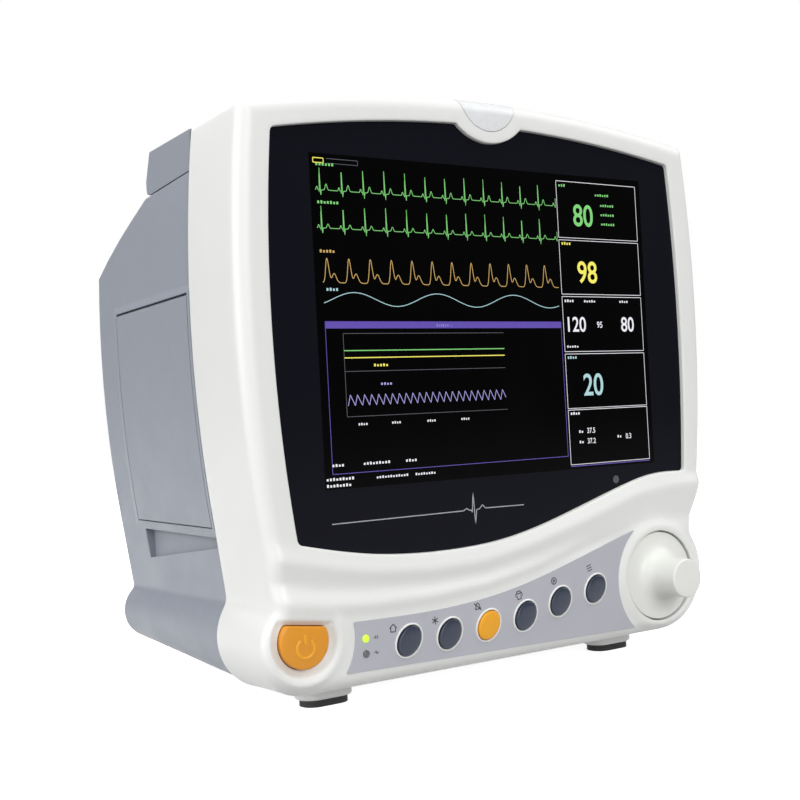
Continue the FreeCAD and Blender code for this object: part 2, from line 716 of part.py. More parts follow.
def add_screw_tunnels(shell):
    """Tunnels for the long screws that hold the bezel."""
    for x, z in BOSSES:
        shell = shell.fuse(rod_y(x, z, 6.0, SEAM, SHELL_BACK - 1.0))
        shell = shell.cut(rod_y(x, z, 3.8, SEAM + 8.0, SHELL_BACK + 1.0))
        shell = shell.cut(rod_y(x, z, 2.1, SEAM - 1.0, SEAM + 9.0))
    return shell


def add_underside(shell):
    """Rear feet, threaded insert seats and the battery opening."""
    floor = BASE + HOUSING_INSET
    inner_floor = floor + SHELL_WALL
    foot_x, foot_y = FEET[1]
    for side in (-1, 1):
        shell = shell.fuse(foot_boss(side * foot_x, foot_y, floor + 2.0))
        shell = shell.cut(rod_z(side * foot_x, foot_y, 3.0 + RUN_FIT, FOOT_HEIGHT - 1, 9.0))
    for x, y in mount_points():
        shell = shell.fuse(rod_z(x, y, INSERT_RADIUS + 3.0, inner_floor - 1.0, INSERT_TOP + 2.0))
        shell = shell.cut(rod_z(x, y, INSERT_RADIUS, BASE, INSERT_TOP))
    x0, x1, y0, y1 = BATTERY_COVER
    shell = shell.cut(box(x0 - 0.2, x1 + 0.2, y0 - 0.2, y1 + 0.2, BASE, inner_floor - 1.2))
    return shell.cut(box(x0 + 3, x1 - 3, y0 + 3, y1 - 3, BASE, inner_floor + 1.0))


def rear_housing():
    block = housing_block(0.0, SEAM)
    inner = housing_block(SHELL_WALL, SEAM - 1.0)
    shell = fused([block, door_frame()]).cut(inner)
    shell = fused([shell] + hinge_lugs())
    shell = add_door_opening(shell, block)
    shell = add_socket_bay(shell, block)
    shell = add_screw_tunnels(shell)
    shell = shell.cut(rear_cuts())
    return add_underside(shell).removeSplitter()


def socket_spots():
    """Height and hole radius of every patient socket, top to bottom."""
    return [(ECG_Z, 12.0), (SPO2_Z, 10.0), (TEMPERATURE_Z[0], 5.0), (TEMPERATURE_Z[1], 5.0),
            (CUFF_Z, 8.0)]


def socket_holes():
    floor = SOCKET_BAY[0]
    return [rod_x(SOCKET_Y, z, radius, floor - 10, floor + 10) for z, radius in socket_spots()]


def mount_points():
    half = MOUNT_PITCH / 2.0
    return [(sx * half, MOUNT_Y + sy * half) for sx in (-1, 1) for sy in (-1, 1)]


def rear_cuts():
    y0, y1 = SHELL_BACK - 10, BACK + 1
    ix, iz = INLET
    cuts = [box(ix - 14, ix + 14, y0, y1, iz - 10, iz + 10)]
    cuts += [rod_y(fx, fz, 5.0, y0, y1) for fx, fz in FUSES]
    cuts.append(rod_y(STUD[0], STUD[1], 3.0, y0, y1))
    cuts.append(box(NETWORK[0] - 8, NETWORK[0] + 8, y0, y1, NETWORK[1] - 7, NETWORK[1] + 7))
    for row in range(8):
        z = 215.0 + 5.5 * row
        cuts.append(box(-60, 60, SHELL_BACK - 4, y1, z, z + 2.2))
    sx, sz = SPEAKER
    for i in range(-3, 4):
        for j in range(-3, 4):
            if i * i + j * j <= 10:
                cuts.append(rod_y(sx + 6.0 * i, sz + 6.0 * j, 1.4, SHELL_BACK - 4, y1))
    return cuts


# ---- carry handle ----------------------------------------------------------
def carry_handle():
    """Arched bar at the front with an arm down each side to the rear pivots.
    The lower rear corner of each arm is rounded about its pivot."""
    y_front, y_bar, y_end = SEAM + 4.5, -7.0, HANDLE_PIVOT[0] + 3.6
    y, z = HANDLE_PIVOT
    top = [(0.0, 347.0), (-HANDLE_OUTER, 333.0)]
    bar_section = trace((-HANDLE_OUTER, 309.9), [(0.0, 324.4), (HANDLE_OUTER, 309.9)],
                        [(HANDLE_OUTER, 333.0)], top, [(-HANDLE_OUTER, 309.9)])
    bar = prism(bar_section, y_front, y_bar)
    arm_side = [(y_front, 309.8), (y, z - 3.9), (y + 2.7, z - 2.8), (y_end, z),
                (y_end, z + 5.0), (y_end - 8.0, 334.0), (y_front, 334.0)]
    arm = polygon_x(arm_side, HANDLE_INNER, HANDLE_OUTER)
    limit = trace((-HANDLE_OUTER, 300.0), [(HANDLE_OUTER, 300.0)], [(HANDLE_OUTER, 333.0)],
                  top, [(-HANDLE_OUTER, 300.0)])
    handle = fused([bar, arm, mirrored(arm)]).common(prism(limit, -60, 60))
    socket = rod_x(y, z, HANDLE_PIN + RUN_FIT, HANDLE_INNER - 1.0, HANDLE_OUTER - 2.0)
    return handle.cut(socket).cut(mirrored(socket))


def handle_pins():
    y, z = HANDLE_PIVOT
    pin = rod_x(y, z, HANDLE_PIN, 136.5, HANDLE_OUTER - 2.5)
    return [pin, mirrored(pin)]


# ---- side door and recorder ------------------------------------------------
def recorder_door():
    """Curved panel flush with its frame, hung from a full-length hinge barrel
    that forms its rounded top edge."""
    x, z = DOOR_PIVOT
    panel = side_block(-FRAME_PROUD, SEAM).cut(side_block(DOOR_WALL - FRAME_PROUD, SEAM - 1.0))
    panel = panel.common(box(-180, -150, DOOR_Y[0], DOOR_Y[1], DOOR_FOOT, z))
    barrel = door_rod(DOOR_BARREL, DOOR_Y[0], DOOR_Y[1])
    door = fused([panel, barrel])
    return door.cut(door_rod(DOOR_PIN + RUN_FIT, DOOR_Y[0] - 1, DOOR_Y[1] + 1))


def door_hinge_pin():
    return door_rod(DOOR_PIN, DOOR_Y[0] - 2.9, DOOR_Y[1] + 3.9)


def motor_centre():
    reach = GEAR_MODULE * (PLATEN_TEETH + PINION_TEETH) / 2.0
    lean = math.radians(MOTOR_LEAN)
    return PLATEN[0] + reach * math.cos(lean), PLATEN[1] + reach * math.sin(lean)


def recorder_frame():
    (a0, a1), (b0, b1) = RECORDER_WALLS
    back = box(-106, -104, a0, b1, 118, 226)
    base = box(-156, -104, a0, b1, 118, 120)
    solids = [back, base]
    for y0, y1 in RECORDER_WALLS:
        solids.append(box(-158, -104, y0, y1, 118, 226))
    rx, rz = ROLL
    solids.append(rod_y(rx, rz, 6.0, a1, a1 + 8))
    solids.append(rod_y(rx, rz, 6.0, b0 - 8, b0))
    frame = fused(solids)
    px, pz = PLATEN
    frame = frame.cut(rod_y(px, pz, 2.0 + RUN_FIT, a0 - 1, b1 + 1))
    mx, mz = motor_centre()
    return frame.cut(rod_y(mx, mz, 2.5, b0 - 1, b1 + 1))


def paper_roll():
    rx, rz = ROLL
    return rod_y(rx, rz, 21.0, 13, 71).cut(rod_y(rx, rz, 6.0 + RUN_FIT, 10, 75))


def platen_roller():
    px, pz = PLATEN
    (a0, _), (_, b1) = RECORDER_WALLS
    return fused([rod_y(px, pz, 6.0, 11, 73), rod_y(px, pz, 2.0, a0 - 1, b1 + 6)])


def platen_gear():
    return gear(PLATEN[0], PLATEN[1], PLATEN_TEETH, 79.0, 83.0, 2.0, math.radians(MOTOR_LEAN))


def motor_pinion():
    mx, mz = motor_centre()
    half_tooth = math.pi / PINION_TEETH
    phase = math.radians(MOTOR_LEAN) + math.pi + half_tooth
    return gear(mx, mz, PINION_TEETH, 79.0, 83.0, 1.5, phase)


def recorder_motor():
    mx, mz = motor_centre()
    can = rod_y(mx, mz, 8.0, 46, 75.5)
    return fused([can, rod_y(mx, mz, 2.4, 75.5, 78.0), rod_y(mx, mz, 1.5 - 0.02, 78.0, 84)])


def print_head():
    return box(-157, -144, 13, 71, 180.0, PLATEN[1] - 6.05)


# ---- right side sockets ----------------------------------------------------
def connector_panel():
    floor, y0, y1, z0, z1 = SOCKET_BAY
    plate = box(floor, floor + 1.0, y0 + 0.5, y1 - 0.5, z0 + 0.5, z1 - 0.5)
    for cut in socket_holes():
        plate = plate.cut(cut)
    return plate


def round_socket(z, hole, outer, bore, proud):
    """Flanged round socket with a blind bore that faces +X."""
    floor = SOCKET_BAY[0] + 1.0
    flange = rod_x(SOCKET_Y, z, outer, floor, floor + 2.0)
    collar = rod_x(SOCKET_Y, z, hole - 0.1, floor - 14.0, floor)
    nose = rod_x(SOCKET_Y, z, hole - 1.0, floor + 2.0, floor + proud)
    socket = fused([flange, collar, nose])
    return socket.cut(rod_x(SOCKET_Y, z, bore, floor - 8.0, floor + proud + 1))


def pins(z, radius, ring, count):
    """Contact pins standing on the floor of a socket."""
    floor = SOCKET_BAY[0] - 7.0
    found = []
    for i in range(count):
        angle = 2.0 * math.pi * i / count
        found.append(rod_x(SOCKET_Y + ring * math.cos(angle), z + ring * math.sin(angle), radius,
                           floor - 0.5, floor + 5.0))
    return found


def ecg_socket():
    return fused([round_socket(ECG_Z, 12.0, 15.0, 9.5, 8.0)] + pins(ECG_Z, 0.8, 5.5, 6))


def spo2_socket():
    return fused([round_socket(SPO2_Z, 10.0, 12.5, 7.5, 8.0)] + pins(SPO2_Z, 0.8, 4.2, 6))


def temperature_sockets():
    return [round_socket(z, 5.0, 7.5, 3.2, 6.0) for z in TEMPERATURE_Z]


def cuff_port():
    """Air nipple for the blood pressure hose."""
    floor = SOCKET_BAY[0] + 1.0
    solids = [rod_x(SOCKET_Y, CUFF_Z, 10.5, floor, floor + 2.0),
              rod_x(SOCKET_Y, CUFF_Z, 7.9, floor - 12.0, floor),
              rod_x(SOCKET_Y, CUFF_Z, 4.0, floor + 2.0, floor + 10.0)]
    return fused(solids).cut(rod_x(SOCKET_Y, CUFF_Z, 2.0, floor - 20, floor + 20))


# ---- back ------------------------------------------------------------------
def mains_inlet():
    ix, iz = INLET
    flange = rounded_box(ix - 17, ix + 17, SHELL_BACK, BACK - 0.2, iz - 13, iz + 13, 2.0,
                         Vector(0, 1, 0))
    can = box(ix - 13.8, ix + 13.8, SHELL_BACK - 24, SHELL_BACK, iz - 9.8, iz + 9.8)
    well = box(ix - 12, ix + 12, SHELL_BACK - 16, BACK + 1, iz - 8, iz + 8)
    blades = [box(ix + dx - 1, ix + dx + 1, SHELL_BACK - 18, SHELL_BACK - 3, iz + dz - 2, iz + dz + 2)
              for dx, dz in ((-7, -2), (0, 2.5), (7, -2))]
    return fused([fused([flange, can]).cut(well)] + blades)


def fuse_holders():
    holders = []
    for fx, fz in FUSES:
        cap = rod_y(fx, fz, 6.2, SHELL_BACK, BACK)
        slot = box(fx - 5, fx + 5, BACK - 0.6, BACK + 1, fz - 0.6, fz + 0.6)
        holders.append(fused([cap, rod_y(fx, fz, 4.9, SHELL_BACK - 25, SHELL_BACK)]).cut(slot))
    return holders


def ground_stud():
    sx, sz = STUD
    return fused([rod_y(sx, sz, 5.5, SHELL_BACK - 4.4, SHELL_BACK - 2.6),
                  rod_y(sx, sz, 2.95, SHELL_BACK - 12, BACK)])


def network_port():
    nx, nz = NETWORK
    can = box(nx - 7.9, nx + 7.9, SHELL_BACK - 16, SHELL_BACK + 0.6, nz - 6.9, nz + 6.9)
    well = box(nx - 6, nx + 6, SHELL_BACK - 12, BACK, nz - 4.2, nz + 3.2)
    return can.cut(well).cut(box(nx - 3, nx + 3, SHELL_BACK - 12, BACK, nz + 3, nz + 5.2))


def rear_label():
    lx, lz = LABEL
    return rounded_box(lx - 35, lx + 35, SHELL_BACK, SHELL_BACK + 0.3, lz - 22, lz + 22, 2.0,
                       Vector(0, 1, 0))


def housing_screws():
    screws = []
    for bx, bz in BOSSES:
        head = rod_y(bx, bz, 3.6, SEAM + 8.0, SEAM + 11.0)
        socket = rod_y(bx, bz, 1.5, SEAM + 9.0, SEAM + 12.0)
        screws.append(fused([head, rod_y(bx, bz, 2.0, -58, SEAM + 8.0)]).cut(socket))
    return screws


# ---- underside -------------------------------------------------------------
def rubber_feet():
    feet = []
    half_x, half_y = FOOT_HALF
    for foot_x, y in FEET:
        for x in (-foot_x, foot_x):
            pad = rounded_box(x - half_x, x + half_x, y - half_y, y + half_y, 0.0, FOOT_HEIGHT,
                              8.0, Vector(0, 0, 1))
            feet.append(fused([pad, rod_z(x, y, 3.0, FOOT_HEIGHT, 8.8)]))
    return feet


def battery_cover():
    """Plate that drops into a stepped opening."""
    floor = BASE + HOUSING_INSET
    x0, x1, y0, y1 = BATTERY_COVER
    plate = box(x0, x1, y0, y1, floor, floor + 1.3)
    plug = box(x0 + 3.3, x1 - 3.3, y0 + 3.3, y1 - 3.3, floor + 1.3, floor + SHELL_WALL)
    return fused([plate, plug])


def mount_inserts():
    """Blind M4 inserts."""
    floor = BASE + HOUSING_INSET
    inserts = []
    for x, y in mount_points():
        bore = rod_z(x, y, 1.65, floor - 1.0, INSERT_TOP - 1.0)
        inserts.append(rod_z(x, y, INSERT_RADIUS, floor, INSERT_TOP).cut(bore))
    return inserts


# ---- inside ----------------------------------------------------------------
def chassis():
    """Folded steel tray: a floor above the battery and a wall for the main board."""
    floor = box(-96, 132, -52, 118, 46, 47.5)
    wall = box(-96, 128, -52, -50.5, 47.5, 290)
    window = box(-60, 60, -55, -45, 265, 285)
    return fused([floor, wall]).cut(window)


def main_board():
    board = box(-80, 110, -42.0, -40.4, 90, 250)
    chips = [box(-40, -8, -40.4, -37.4, 180, 212), box(20, 44, -40.4, -38.4, 190, 214),
             box(-60, -30, -40.4, -37.0, 110, 126)]
    posts = [rod_y(x, z, 3.0, -50.5, -42.0) for x in (-74, 104) for z in (96, 244)]
    return fused([board] + chips + posts)


def parameter_board():
    """Board behind the patient sockets, standing on the chassis floor."""
    board = box(126, 127.6, -20, 100, 60, 205)
    feet = [box(122, 127.6, y, y + 8, 47.5, 60.0) for y in (0, 80)]
    shield = box(118, 126, 0, 80, 110, 190)
    return fused([board] + feet + [shield])


def power_supply():
    body = box(5, 95, 40, 100, 47.5, 50.0)
    cage = box(5, 95, 40, 100, 50.0, 92.0)
    return fused([body, cage])


def cuff_pump():
    motor = rod_y(-60, 70, 13.0, 0, 40)
    head = box(-75, -45, 40, 64, 47.5, 88)
    return fused([motor, head])


def battery_pack():
    return box(-36, 36, 9, 81, 19.5, 43.5)


def speaker():
    sx, sz = SPEAKER
    y = SHELL_BACK - SHELL_WALL
    frame = rod_y(sx, sz, 26.0, y - 3.0, y)
    cone = turned([(0, y - 16), (12, y - 16), (12, y - 10), (24, y - 3), (0, y - 3)], sx, sz)
    front = turned([(0, y - 6), (8, y - 6), (21, y + 1), (0, y + 1)], sx, sz)
    return fused([frame, cone]).cut(front)


# ---- export ----------------------------------------------------------------
save("front_bezel", front_bezel())
save("display_lens", display_lens())
save("alarm_lamp_lens", alarm_lamp_lens())
save("alarm_lamp_board", alarm_lamp_board())
save("control_label", control_label())
for name, (key_x, key_z) in zip(KEY_NAMES, KEY_CENTRES):
    save(name, key(key_x, key_z))
save("power_button", power_button())
save("menu_knob", menu_knob())
save("encoder_body", encoder_body())
save("encoder_shaft", encoder_shaft())
save("encoder_plunger", encoder_plunger())
save("encoder_nut", encoder_nut())
for name, (lamp_x, lamp_z) in zip(("mains_lamp_lens", "run_lamp_lens"), LAMP_CENTRES):
    save(name, lamp_lens(lamp_x, lamp_z))
save("keypad_board", keypad_board())
save("keypad_switches", *keypad_switches())
save("lcd_panel", lcd_panel())
save("display_bracket", display_bracket())
save("display_screws", *display_screws())
save("display_driver_board", display_driver_board())
save("rear_housing", rear_housing())
save("carry_handle", carry_handle())
save("handle_pins", *handle_pins())
save("recorder_door", recorder_door())
save("door_hinge_pin", door_hinge_pin())
save("recorder_frame", recorder_frame())
save("paper_roll", paper_roll())
save("platen_roller", platen_roller())
save("platen_gear", platen_gear())
save("motor_pinion", motor_pinion())
save("recorder_motor", recorder_motor())
save("print_head", print_head())
save("connector_panel", connector_panel())
save("ecg_socket", ecg_socket())
save("spo2_socket", spo2_socket())
save("temperature_sockets", *temperature_sockets())
save("cuff_port", cuff_port())
save("mains_inlet", mains_inlet())
save("fuse_holders", *fuse_holders())
save("ground_stud", ground_stud())
save("network_port", network_port())
save("rear_label", rear_label())
save("housing_screws", *housing_screws())
save("rubber_feet", *rubber_feet())
save("battery_cover", battery_cover())
save("mount_inserts", *mount_inserts())
save("chassis", chassis())
save("main_board", main_board())
save("parameter_board", parameter_board())
save("power_supply", power_supply())
save("cuff_pump", cuff_pump())
save("battery_pack", battery_pack())
save("speaker", speaker())
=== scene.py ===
import math

import bmesh
import bpy
import numpy as np
from mathutils import Matrix, Vector
from mathutils.geometry import delaunay_2d_cdt


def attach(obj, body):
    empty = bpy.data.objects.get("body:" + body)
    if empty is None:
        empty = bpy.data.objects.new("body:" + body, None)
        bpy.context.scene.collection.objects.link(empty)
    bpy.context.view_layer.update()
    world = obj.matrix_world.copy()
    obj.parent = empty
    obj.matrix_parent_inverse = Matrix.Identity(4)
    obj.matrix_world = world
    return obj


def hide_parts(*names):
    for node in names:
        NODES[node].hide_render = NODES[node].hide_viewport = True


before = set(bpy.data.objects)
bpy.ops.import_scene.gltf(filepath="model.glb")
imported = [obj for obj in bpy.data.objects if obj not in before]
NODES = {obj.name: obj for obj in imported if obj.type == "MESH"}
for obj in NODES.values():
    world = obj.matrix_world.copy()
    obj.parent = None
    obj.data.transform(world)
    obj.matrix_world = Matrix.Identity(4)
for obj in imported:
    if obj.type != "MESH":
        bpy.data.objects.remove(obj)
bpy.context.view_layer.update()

MM = 0.001

# ---- depths along Y and heights along Z, millimetres ------------------------
SEAM = -38.0               # bezel meets housing
LENS_FRONT = -100.0        # dark window
BEZEL_FRONT = -103.0       # flat ring round the window
DECK = -104.2              # flat face under the control label
LABEL_FRONT = -104.6
SCREEN_Z = 216.0           # middle of the screen
SCREEN_W, SCREEN_H = 246.0, 184.5

# ---- controls ---------------------------------------------------------------
KEYS = {
    "main_key": (-77.3, 36.5), "freeze_key": (-49.5, 36.5), "silence_key": (-21.7, 37.7),
    "record_key": (6.0, 39.6), "start_key": (33.3, 44.7), "menu_key": (62.0, 49.0),
}
KEY_LONG, KEY_SHORT, KEY_TILT = 9.0, 6.95, 48.0
COLLAR = 1.6               # outer edge of a key's white collar
POWER = (-142.6, 44.9)
POWER_RADIUS, POWER_CHORD = 14.6, 8.3
POWER_DIP = 8.0            # the flat top dips to the right by this angle
KNOB = (118.0, 51.0)
LAMPS = [(-105.2, 41.5), (-105.3, 33.2)]
ALARM = (0.0, 350.2)       # centre of the half-disc lamp
ALARM_RADIUS = 20.5

# ---- lobes under the knob and the power button: centre, radius, neck angle --
FRONT_LOBES = (((122.5, 52.75), 37.75, 40.0), ((-141.0, 40.75), 25.75, 128.0))
SEAM_LOBES = (((114.5, 53.0), 43.0, 30.6), ((-132.5, 41.5), 31.5, 140.0))

PICTOGRAM = 3.9            # half width of a pictogram
# lean in degrees, then place beside the key
PICTOGRAM_PLACES = {
    "main_key": (-4, -10.0, 8.2), "freeze_key": (4, -9.5, 8.8), "silence_key": (6, -7.0, 11.6),
    "record_key": (8, -4.0, 12.6), "start_key": (13, -4.0, 12.8), "menu_key": (15, -4.0, 13.2),
}

# ---- sculpting --------------------------------------------------------------
EDGE_ROUND = 8.5           # rounding of the bezel's front edge
POWER_BOWL = 3.0           # depth of the bowl round the power button
WEB = 2.5                  # thickness of the wall across the bezel's back
WEB_FOOT = 303.0           # its lower edge
LONGEST_STEP = 5.0         # a wider gap between loop points stays open
GRID = 2.2                 # spacing of the skin's vertices
HOLE_FLOOR = -97.0         # how far back the walls of the holes run
EDGE_GAPS = (0.2, 0.7, 1.5, 2.7, 4.3, 6.2, EDGE_ROUND)    # rows that follow the rounding
FOOT = (109.0, -60.0)      # middle of a front foot, X and Y
FOOT_BOSS = (17.0, 10.0)   # half sizes of the boss above it
FOOT_BOSS_Z = (4.0, 17.0)


# ---- Outlines ----
def arc_points(a, b, c, count):
    """Points on the circle through a, b and c, from a to c."""
    (ax, ay), (bx, by), (cx, cy) = a, b, c
    sa, sb, sc = ax**2 + ay**2, bx**2 + by**2, cx**2 + cy**2
    d = 2 * (ax * (by - cy) + bx * (cy - ay) + cx * (ay - by))
    ux = (sa * (by - cy) + sb * (cy - ay) + sc * (ay - by)) / d
    uy = (sa * (cx - bx) + sb * (ax - cx) + sc * (bx - ax)) / d
    radius = math.hypot(ax - ux, ay - uy)
    start = math.atan2(ay - uy, ax - ux)
    middle = (math.atan2(by - uy, bx - ux) - start) % (2 * math.pi)
    sweep = (math.atan2(cy - uy, cx - ux) - start) % (2 * math.pi)
    if middle > sweep:
        sweep -= 2 * math.pi
    angles = start + sweep * np.linspace(0, 1, count)
    return [(ux + radius * math.cos(t), uy + radius * math.sin(t)) for t in angles]


def smooth_curve(points, count):
    """Natural cubic curve through the points, evenly sampled along its chords."""
    points = np.array(points, float)
    steps = np.r_[0, np.cumsum(np.linalg.norm(np.diff(points, axis=0), axis=1))]
    n = len(points)
    h = np.diff(steps)
    matrix = np.eye(n)
    right = np.zeros((n, 2))
    for i in range(1, n - 1):
        matrix[i, i - 1:i + 2] = h[i - 1], 2 * (h[i - 1] + h[i]), h[i]
        right[i] = 6 * ((points[i + 1] - points[i]) / h[i] - (points[i] - points[i - 1]) / h[i - 1])
    bend = np.linalg.solve(matrix, right)
    found = []
    for t in np.linspace(0, steps[-1], count):
        i = min(np.searchsorted(steps, t, side="right") - 1, n - 2)
        a, b = steps[i + 1] - t, t - steps[i]
        found.append(tuple(
            bend[i] * a**3 / (6 * h[i]) + bend[i + 1] * b**3 / (6 * h[i])
            + (points[i] / h[i] - bend[i] * h[i] / 6) * a
            + (points[i + 1] / h[i] - bend[i + 1] * h[i] / 6) * b))
    return found


def trace(start, *legs):
    """Closed outline: a leg of one point is a line, of two an arc, of more a smooth curve."""
    here, found = start, []
    for leg in legs:
        if len(leg) == 1:
            part = [here, leg[0]]
        elif len(leg) == 2:
            part = arc_points(here, leg[0], leg[1], 48)
        else:
            part = smooth_curve([here] + leg, 96)
        found += part[:-1]
        here = leg[-1]
    return np.array(found)


def even(loop, spacing):
    """The closed loop resampled at an even spacing."""
    closed = np.vstack([loop, loop[:1]])
    length = np.r_[0, np.cumsum(np.linalg.norm(np.diff(closed, axis=0), axis=1))]
    count = max(12, int(round(length[-1] / spacing)))
    marks = np.linspace(0, length[-1], count, endpoint=False)
    return np.c_[np.interp(marks, length, closed[:, 0]), np.interp(marks, length, closed[:, 1])]


def softened(loop, reach, spacing=0.5):
    """Closed loop with its corners rounded by a moving average."""
    fine = even(loop, spacing)
    window = int(3 * reach / spacing)
    offsets = np.arange(-window, window + 1)
    weights = np.exp(-0.5 * (offsets * spacing / reach) ** 2)
    weights /= weights.sum()
    return sum(w * np.roll(fine, o, axis=0) for w, o in zip(weights, offsets))


def nearest(points, loop):
    """Closest point of a closed loop to every point."""
    legs = np.roll(loop, -1, axis=0) - loop
    length = (legs**2).sum(1)
    found = np.zeros((len(points), 2))
    for chunk in range(0, len(points), 2000):
        p = points[chunk:chunk + 2000, None, :]
        t = np.clip(((p - loop) * legs).sum(2) / length, 0, 1)
        foot = loop + t[..., None] * legs
        best = ((p - foot)**2).sum(2).argmin(1)
        found[chunk:chunk + 2000] = foot[np.arange(len(best)), best]
    return found


def distance(points, loop):
    """Distance of every point from a closed loop."""
    return np.linalg.norm(points - nearest(points, loop), axis=1)


def inside(points, loop):
    """True for the points enclosed by a closed loop."""
    x, y = points.T
    result = np.zeros(len(points), bool)
    for (ax, ay), (bx, by) in zip(loop, np.roll(loop, -1, axis=0)):
        if ay != by:
            result ^= ((ay > y) != (by > y)) & (x < (bx - ax) * (y - ay) / (by - ay) + ax)
    return result


def inward(loop):
    """Unit normals that point into a closed loop."""
    ahead = np.roll(loop, -1, axis=0) - np.roll(loop, 1, axis=0)
    normal = np.c_[-ahead[:, 1], ahead[:, 0]] / np.linalg.norm(ahead, axis=1)[:, None]
    x, z = loop[:, 0], loop[:, 1]
    area = np.sum(x * np.roll(z, -1) - np.roll(x, -1) * z)
    return normal if area > 0 else -normal


def offset(loop, amount, spacing):
    """The loop moved inwards (outwards if negative), with folded corners dropped."""
    moved = loop + inward(loop) * amount
    kept = moved[distance(moved, loop) > abs(amount) - 0.02]
    return even(kept, spacing)


def clear_of_edge(loop):
    """The points of a loop that lie well inside the body outline."""
    return loop[inside(loop, OUTLINE) & (distance(loop, OUTLINE) > 0.4)]


def on_circle(centre, radius, degrees):
    angle = math.radians(degrees)
    return centre[0] + radius * math.cos(angle), centre[1] + radius * math.sin(angle)


def circle(centre, radius, count):
    return np.array([on_circle(centre, radius, 360 * i / count) for i in range(count)])


def body_outline(lobes):
    """Arched top, bulging sides, and a round lobe at each lower corner."""
    (knob, knob_radius, knob_neck), (power, power_radius, power_neck) = lobes
    sharp = trace(
        (-164.0, 333.9),
        [(0.0, 348.5), (164.0, 333.9)],
        [(170.5, 221.0), (161.8, 103.0)],
        [on_circle(knob, knob_radius, knob_neck)],
        [on_circle(knob, knob_radius, -25.0), on_circle(knob, knob_radius, -90.0)],
        [on_circle(power, power_radius, -90.0)],
        [on_circle(power, power_radius, 200.0), on_circle(power, power_radius, power_neck)],
        [(-161.8, 103.0)],
        [(-170.5, 221.0), (-164.0, 333.9)],
    )
    return softened(sharp, 2.6)


def lens_outline():
    return even(trace(
        (-143.5, 320.3),
        [(-80.0, 329.0), (-24.0, 332.6)],
        [(0.0, 322.5), (24.0, 332.6)],
        [(80.0, 329.0), (143.5, 320.3)],
        [(146.0, 319.3), (147.0, 317.0)],
        [(151.5, 211.0), (147.6, 119.5)],
        [(146.8, 117.6), (145.0, 117.0)],
        [(120.0, 116.5), (90.0, 110.0), (45.0, 97.0), (0.0, 86.7), (-45.0, 83.6),
         (-100.0, 87.2), (-140.0, 95.4)],
        [(-142.0, 96.6), (-142.8, 98.6)],
        [(-151.5, 211.0), (-147.0, 317.0)],
        [(-146.0, 319.3), (-143.5, 320.3)],
    ), 0.8)


def turned(u, v, degrees):
    """The point (u, v) turned about the origin."""
    angle = math.radians(degrees)
    return u * math.cos(angle) - v * math.sin(angle), u * math.sin(angle) + v * math.cos(angle)


def key_loop(centre, grow, count=64):
    """Tilted ellipse of a key, made larger all round by grow."""
    found = []
    for t in np.arange(count) * 2 * math.pi / count:
        u, v = turned((KEY_LONG + grow) * math.cos(t), (KEY_SHORT + grow) * math.sin(t), KEY_TILT)
        found.append((centre[0] + u, centre[1] + v))
    return np.array(found)


def flat_topped(radius, top):
    """Circle round the power button, cut off by a flat top that dips right."""
    rise = math.degrees(math.asin(top / radius))
    left = on_circle(POWER, radius, 180.0 - rise - POWER_DIP)
    right = on_circle(POWER, radius, rise - POWER_DIP)
    lowest = on_circle(POWER, radius, -90.0 - POWER_DIP)
    return even(trace(left, [right], [lowest, left]), 0.8)


OUTLINE = body_outline(FRONT_LOBES)
SEAM_OUTLINE = body_outline(SEAM_LOBES)
LENS = lens_outline()
BUTTON = softened(flat_topped(POWER_RADIUS, POWER_CHORD), 0.8, 0.4)
BOWL = softened(flat_topped(POWER_RADIUS + 5.6, POWER_CHORD + 3.4), 0.7, 0.4)


# ---- The sculpted front of the bezel, as a height above its flat face ----
def smooth_step(value, low, high):
    """Smooth step from 0 at low to 1 at high."""
    t = np.clip((value - low) / (high - low), 0, 1)
    return t * t * (3 - 2 * t)


def blend_max(a, b, soft):
    """Larger of two heights with a soft crease between them."""
    gap = np.clip(0.5 + 0.5 * (a - b) / soft, 0, 1)
    return b + (a - b) * gap + soft * gap * (1 - gap)


LENS_FOOT = np.array(smooth_curve([
    (-170.0, 103.0), (-140.0, 95.4), (-100.0, 87.2), (-45.0, 83.6), (0.0, 86.7), (45.0, 97.0),
    (90.0, 110.0), (120.0, 116.5), (145.0, 117.0), (175.0, 114.0)], 300))

# Creases below the lens, from the upper one down: (X, Z, height) along each.
CREASES = [
    [(-160, 90.0, 2.0), (-130, 83.5, 2.2), (-100, 77.5, 2.3), (-60, 74.5, 2.3), (-20, 75.5, 2.3),
     (20, 83.0, 2.6), (60, 93.0, 3.0), (100, 104.5, 3.0), (130, 108.0, 3.0), (170, 109.0, 2.8)],
    [(-160, 77.5, -1.2), (-130, 71.5, -0.8), (-100, 68.5, -0.2), (-60, 66.0, -0.1),
     (-20, 67.5, 0.0), (20, 74.5, 0.7), (60, 84.0, 1.4), (100, 94.0, 1.2), (170, 98.0, 1.1)],
    [(-160, 67.5, 3.0), (-130, 62.5, 2.6), (-100, 60.0, 2.8), (-60, 60.0, 2.8),
     (-20, 62.5, 2.6), (20, 69.5, 2.2), (60, 80.0, 0.8), (100, 90.0, 0.5), (170, 94.0, 0.4)],
    [(-160, 57.5, 1.2), (-100, 54.0, 1.2), (-60, 54.0, 1.2), (-20, 57.5, 1.1), (20, 64.5, 0.8),
     (60, 75.0, -0.3), (100, 84.0, -0.5), (130, 86.5, -0.5), (170, 87.0, -0.5)],
]


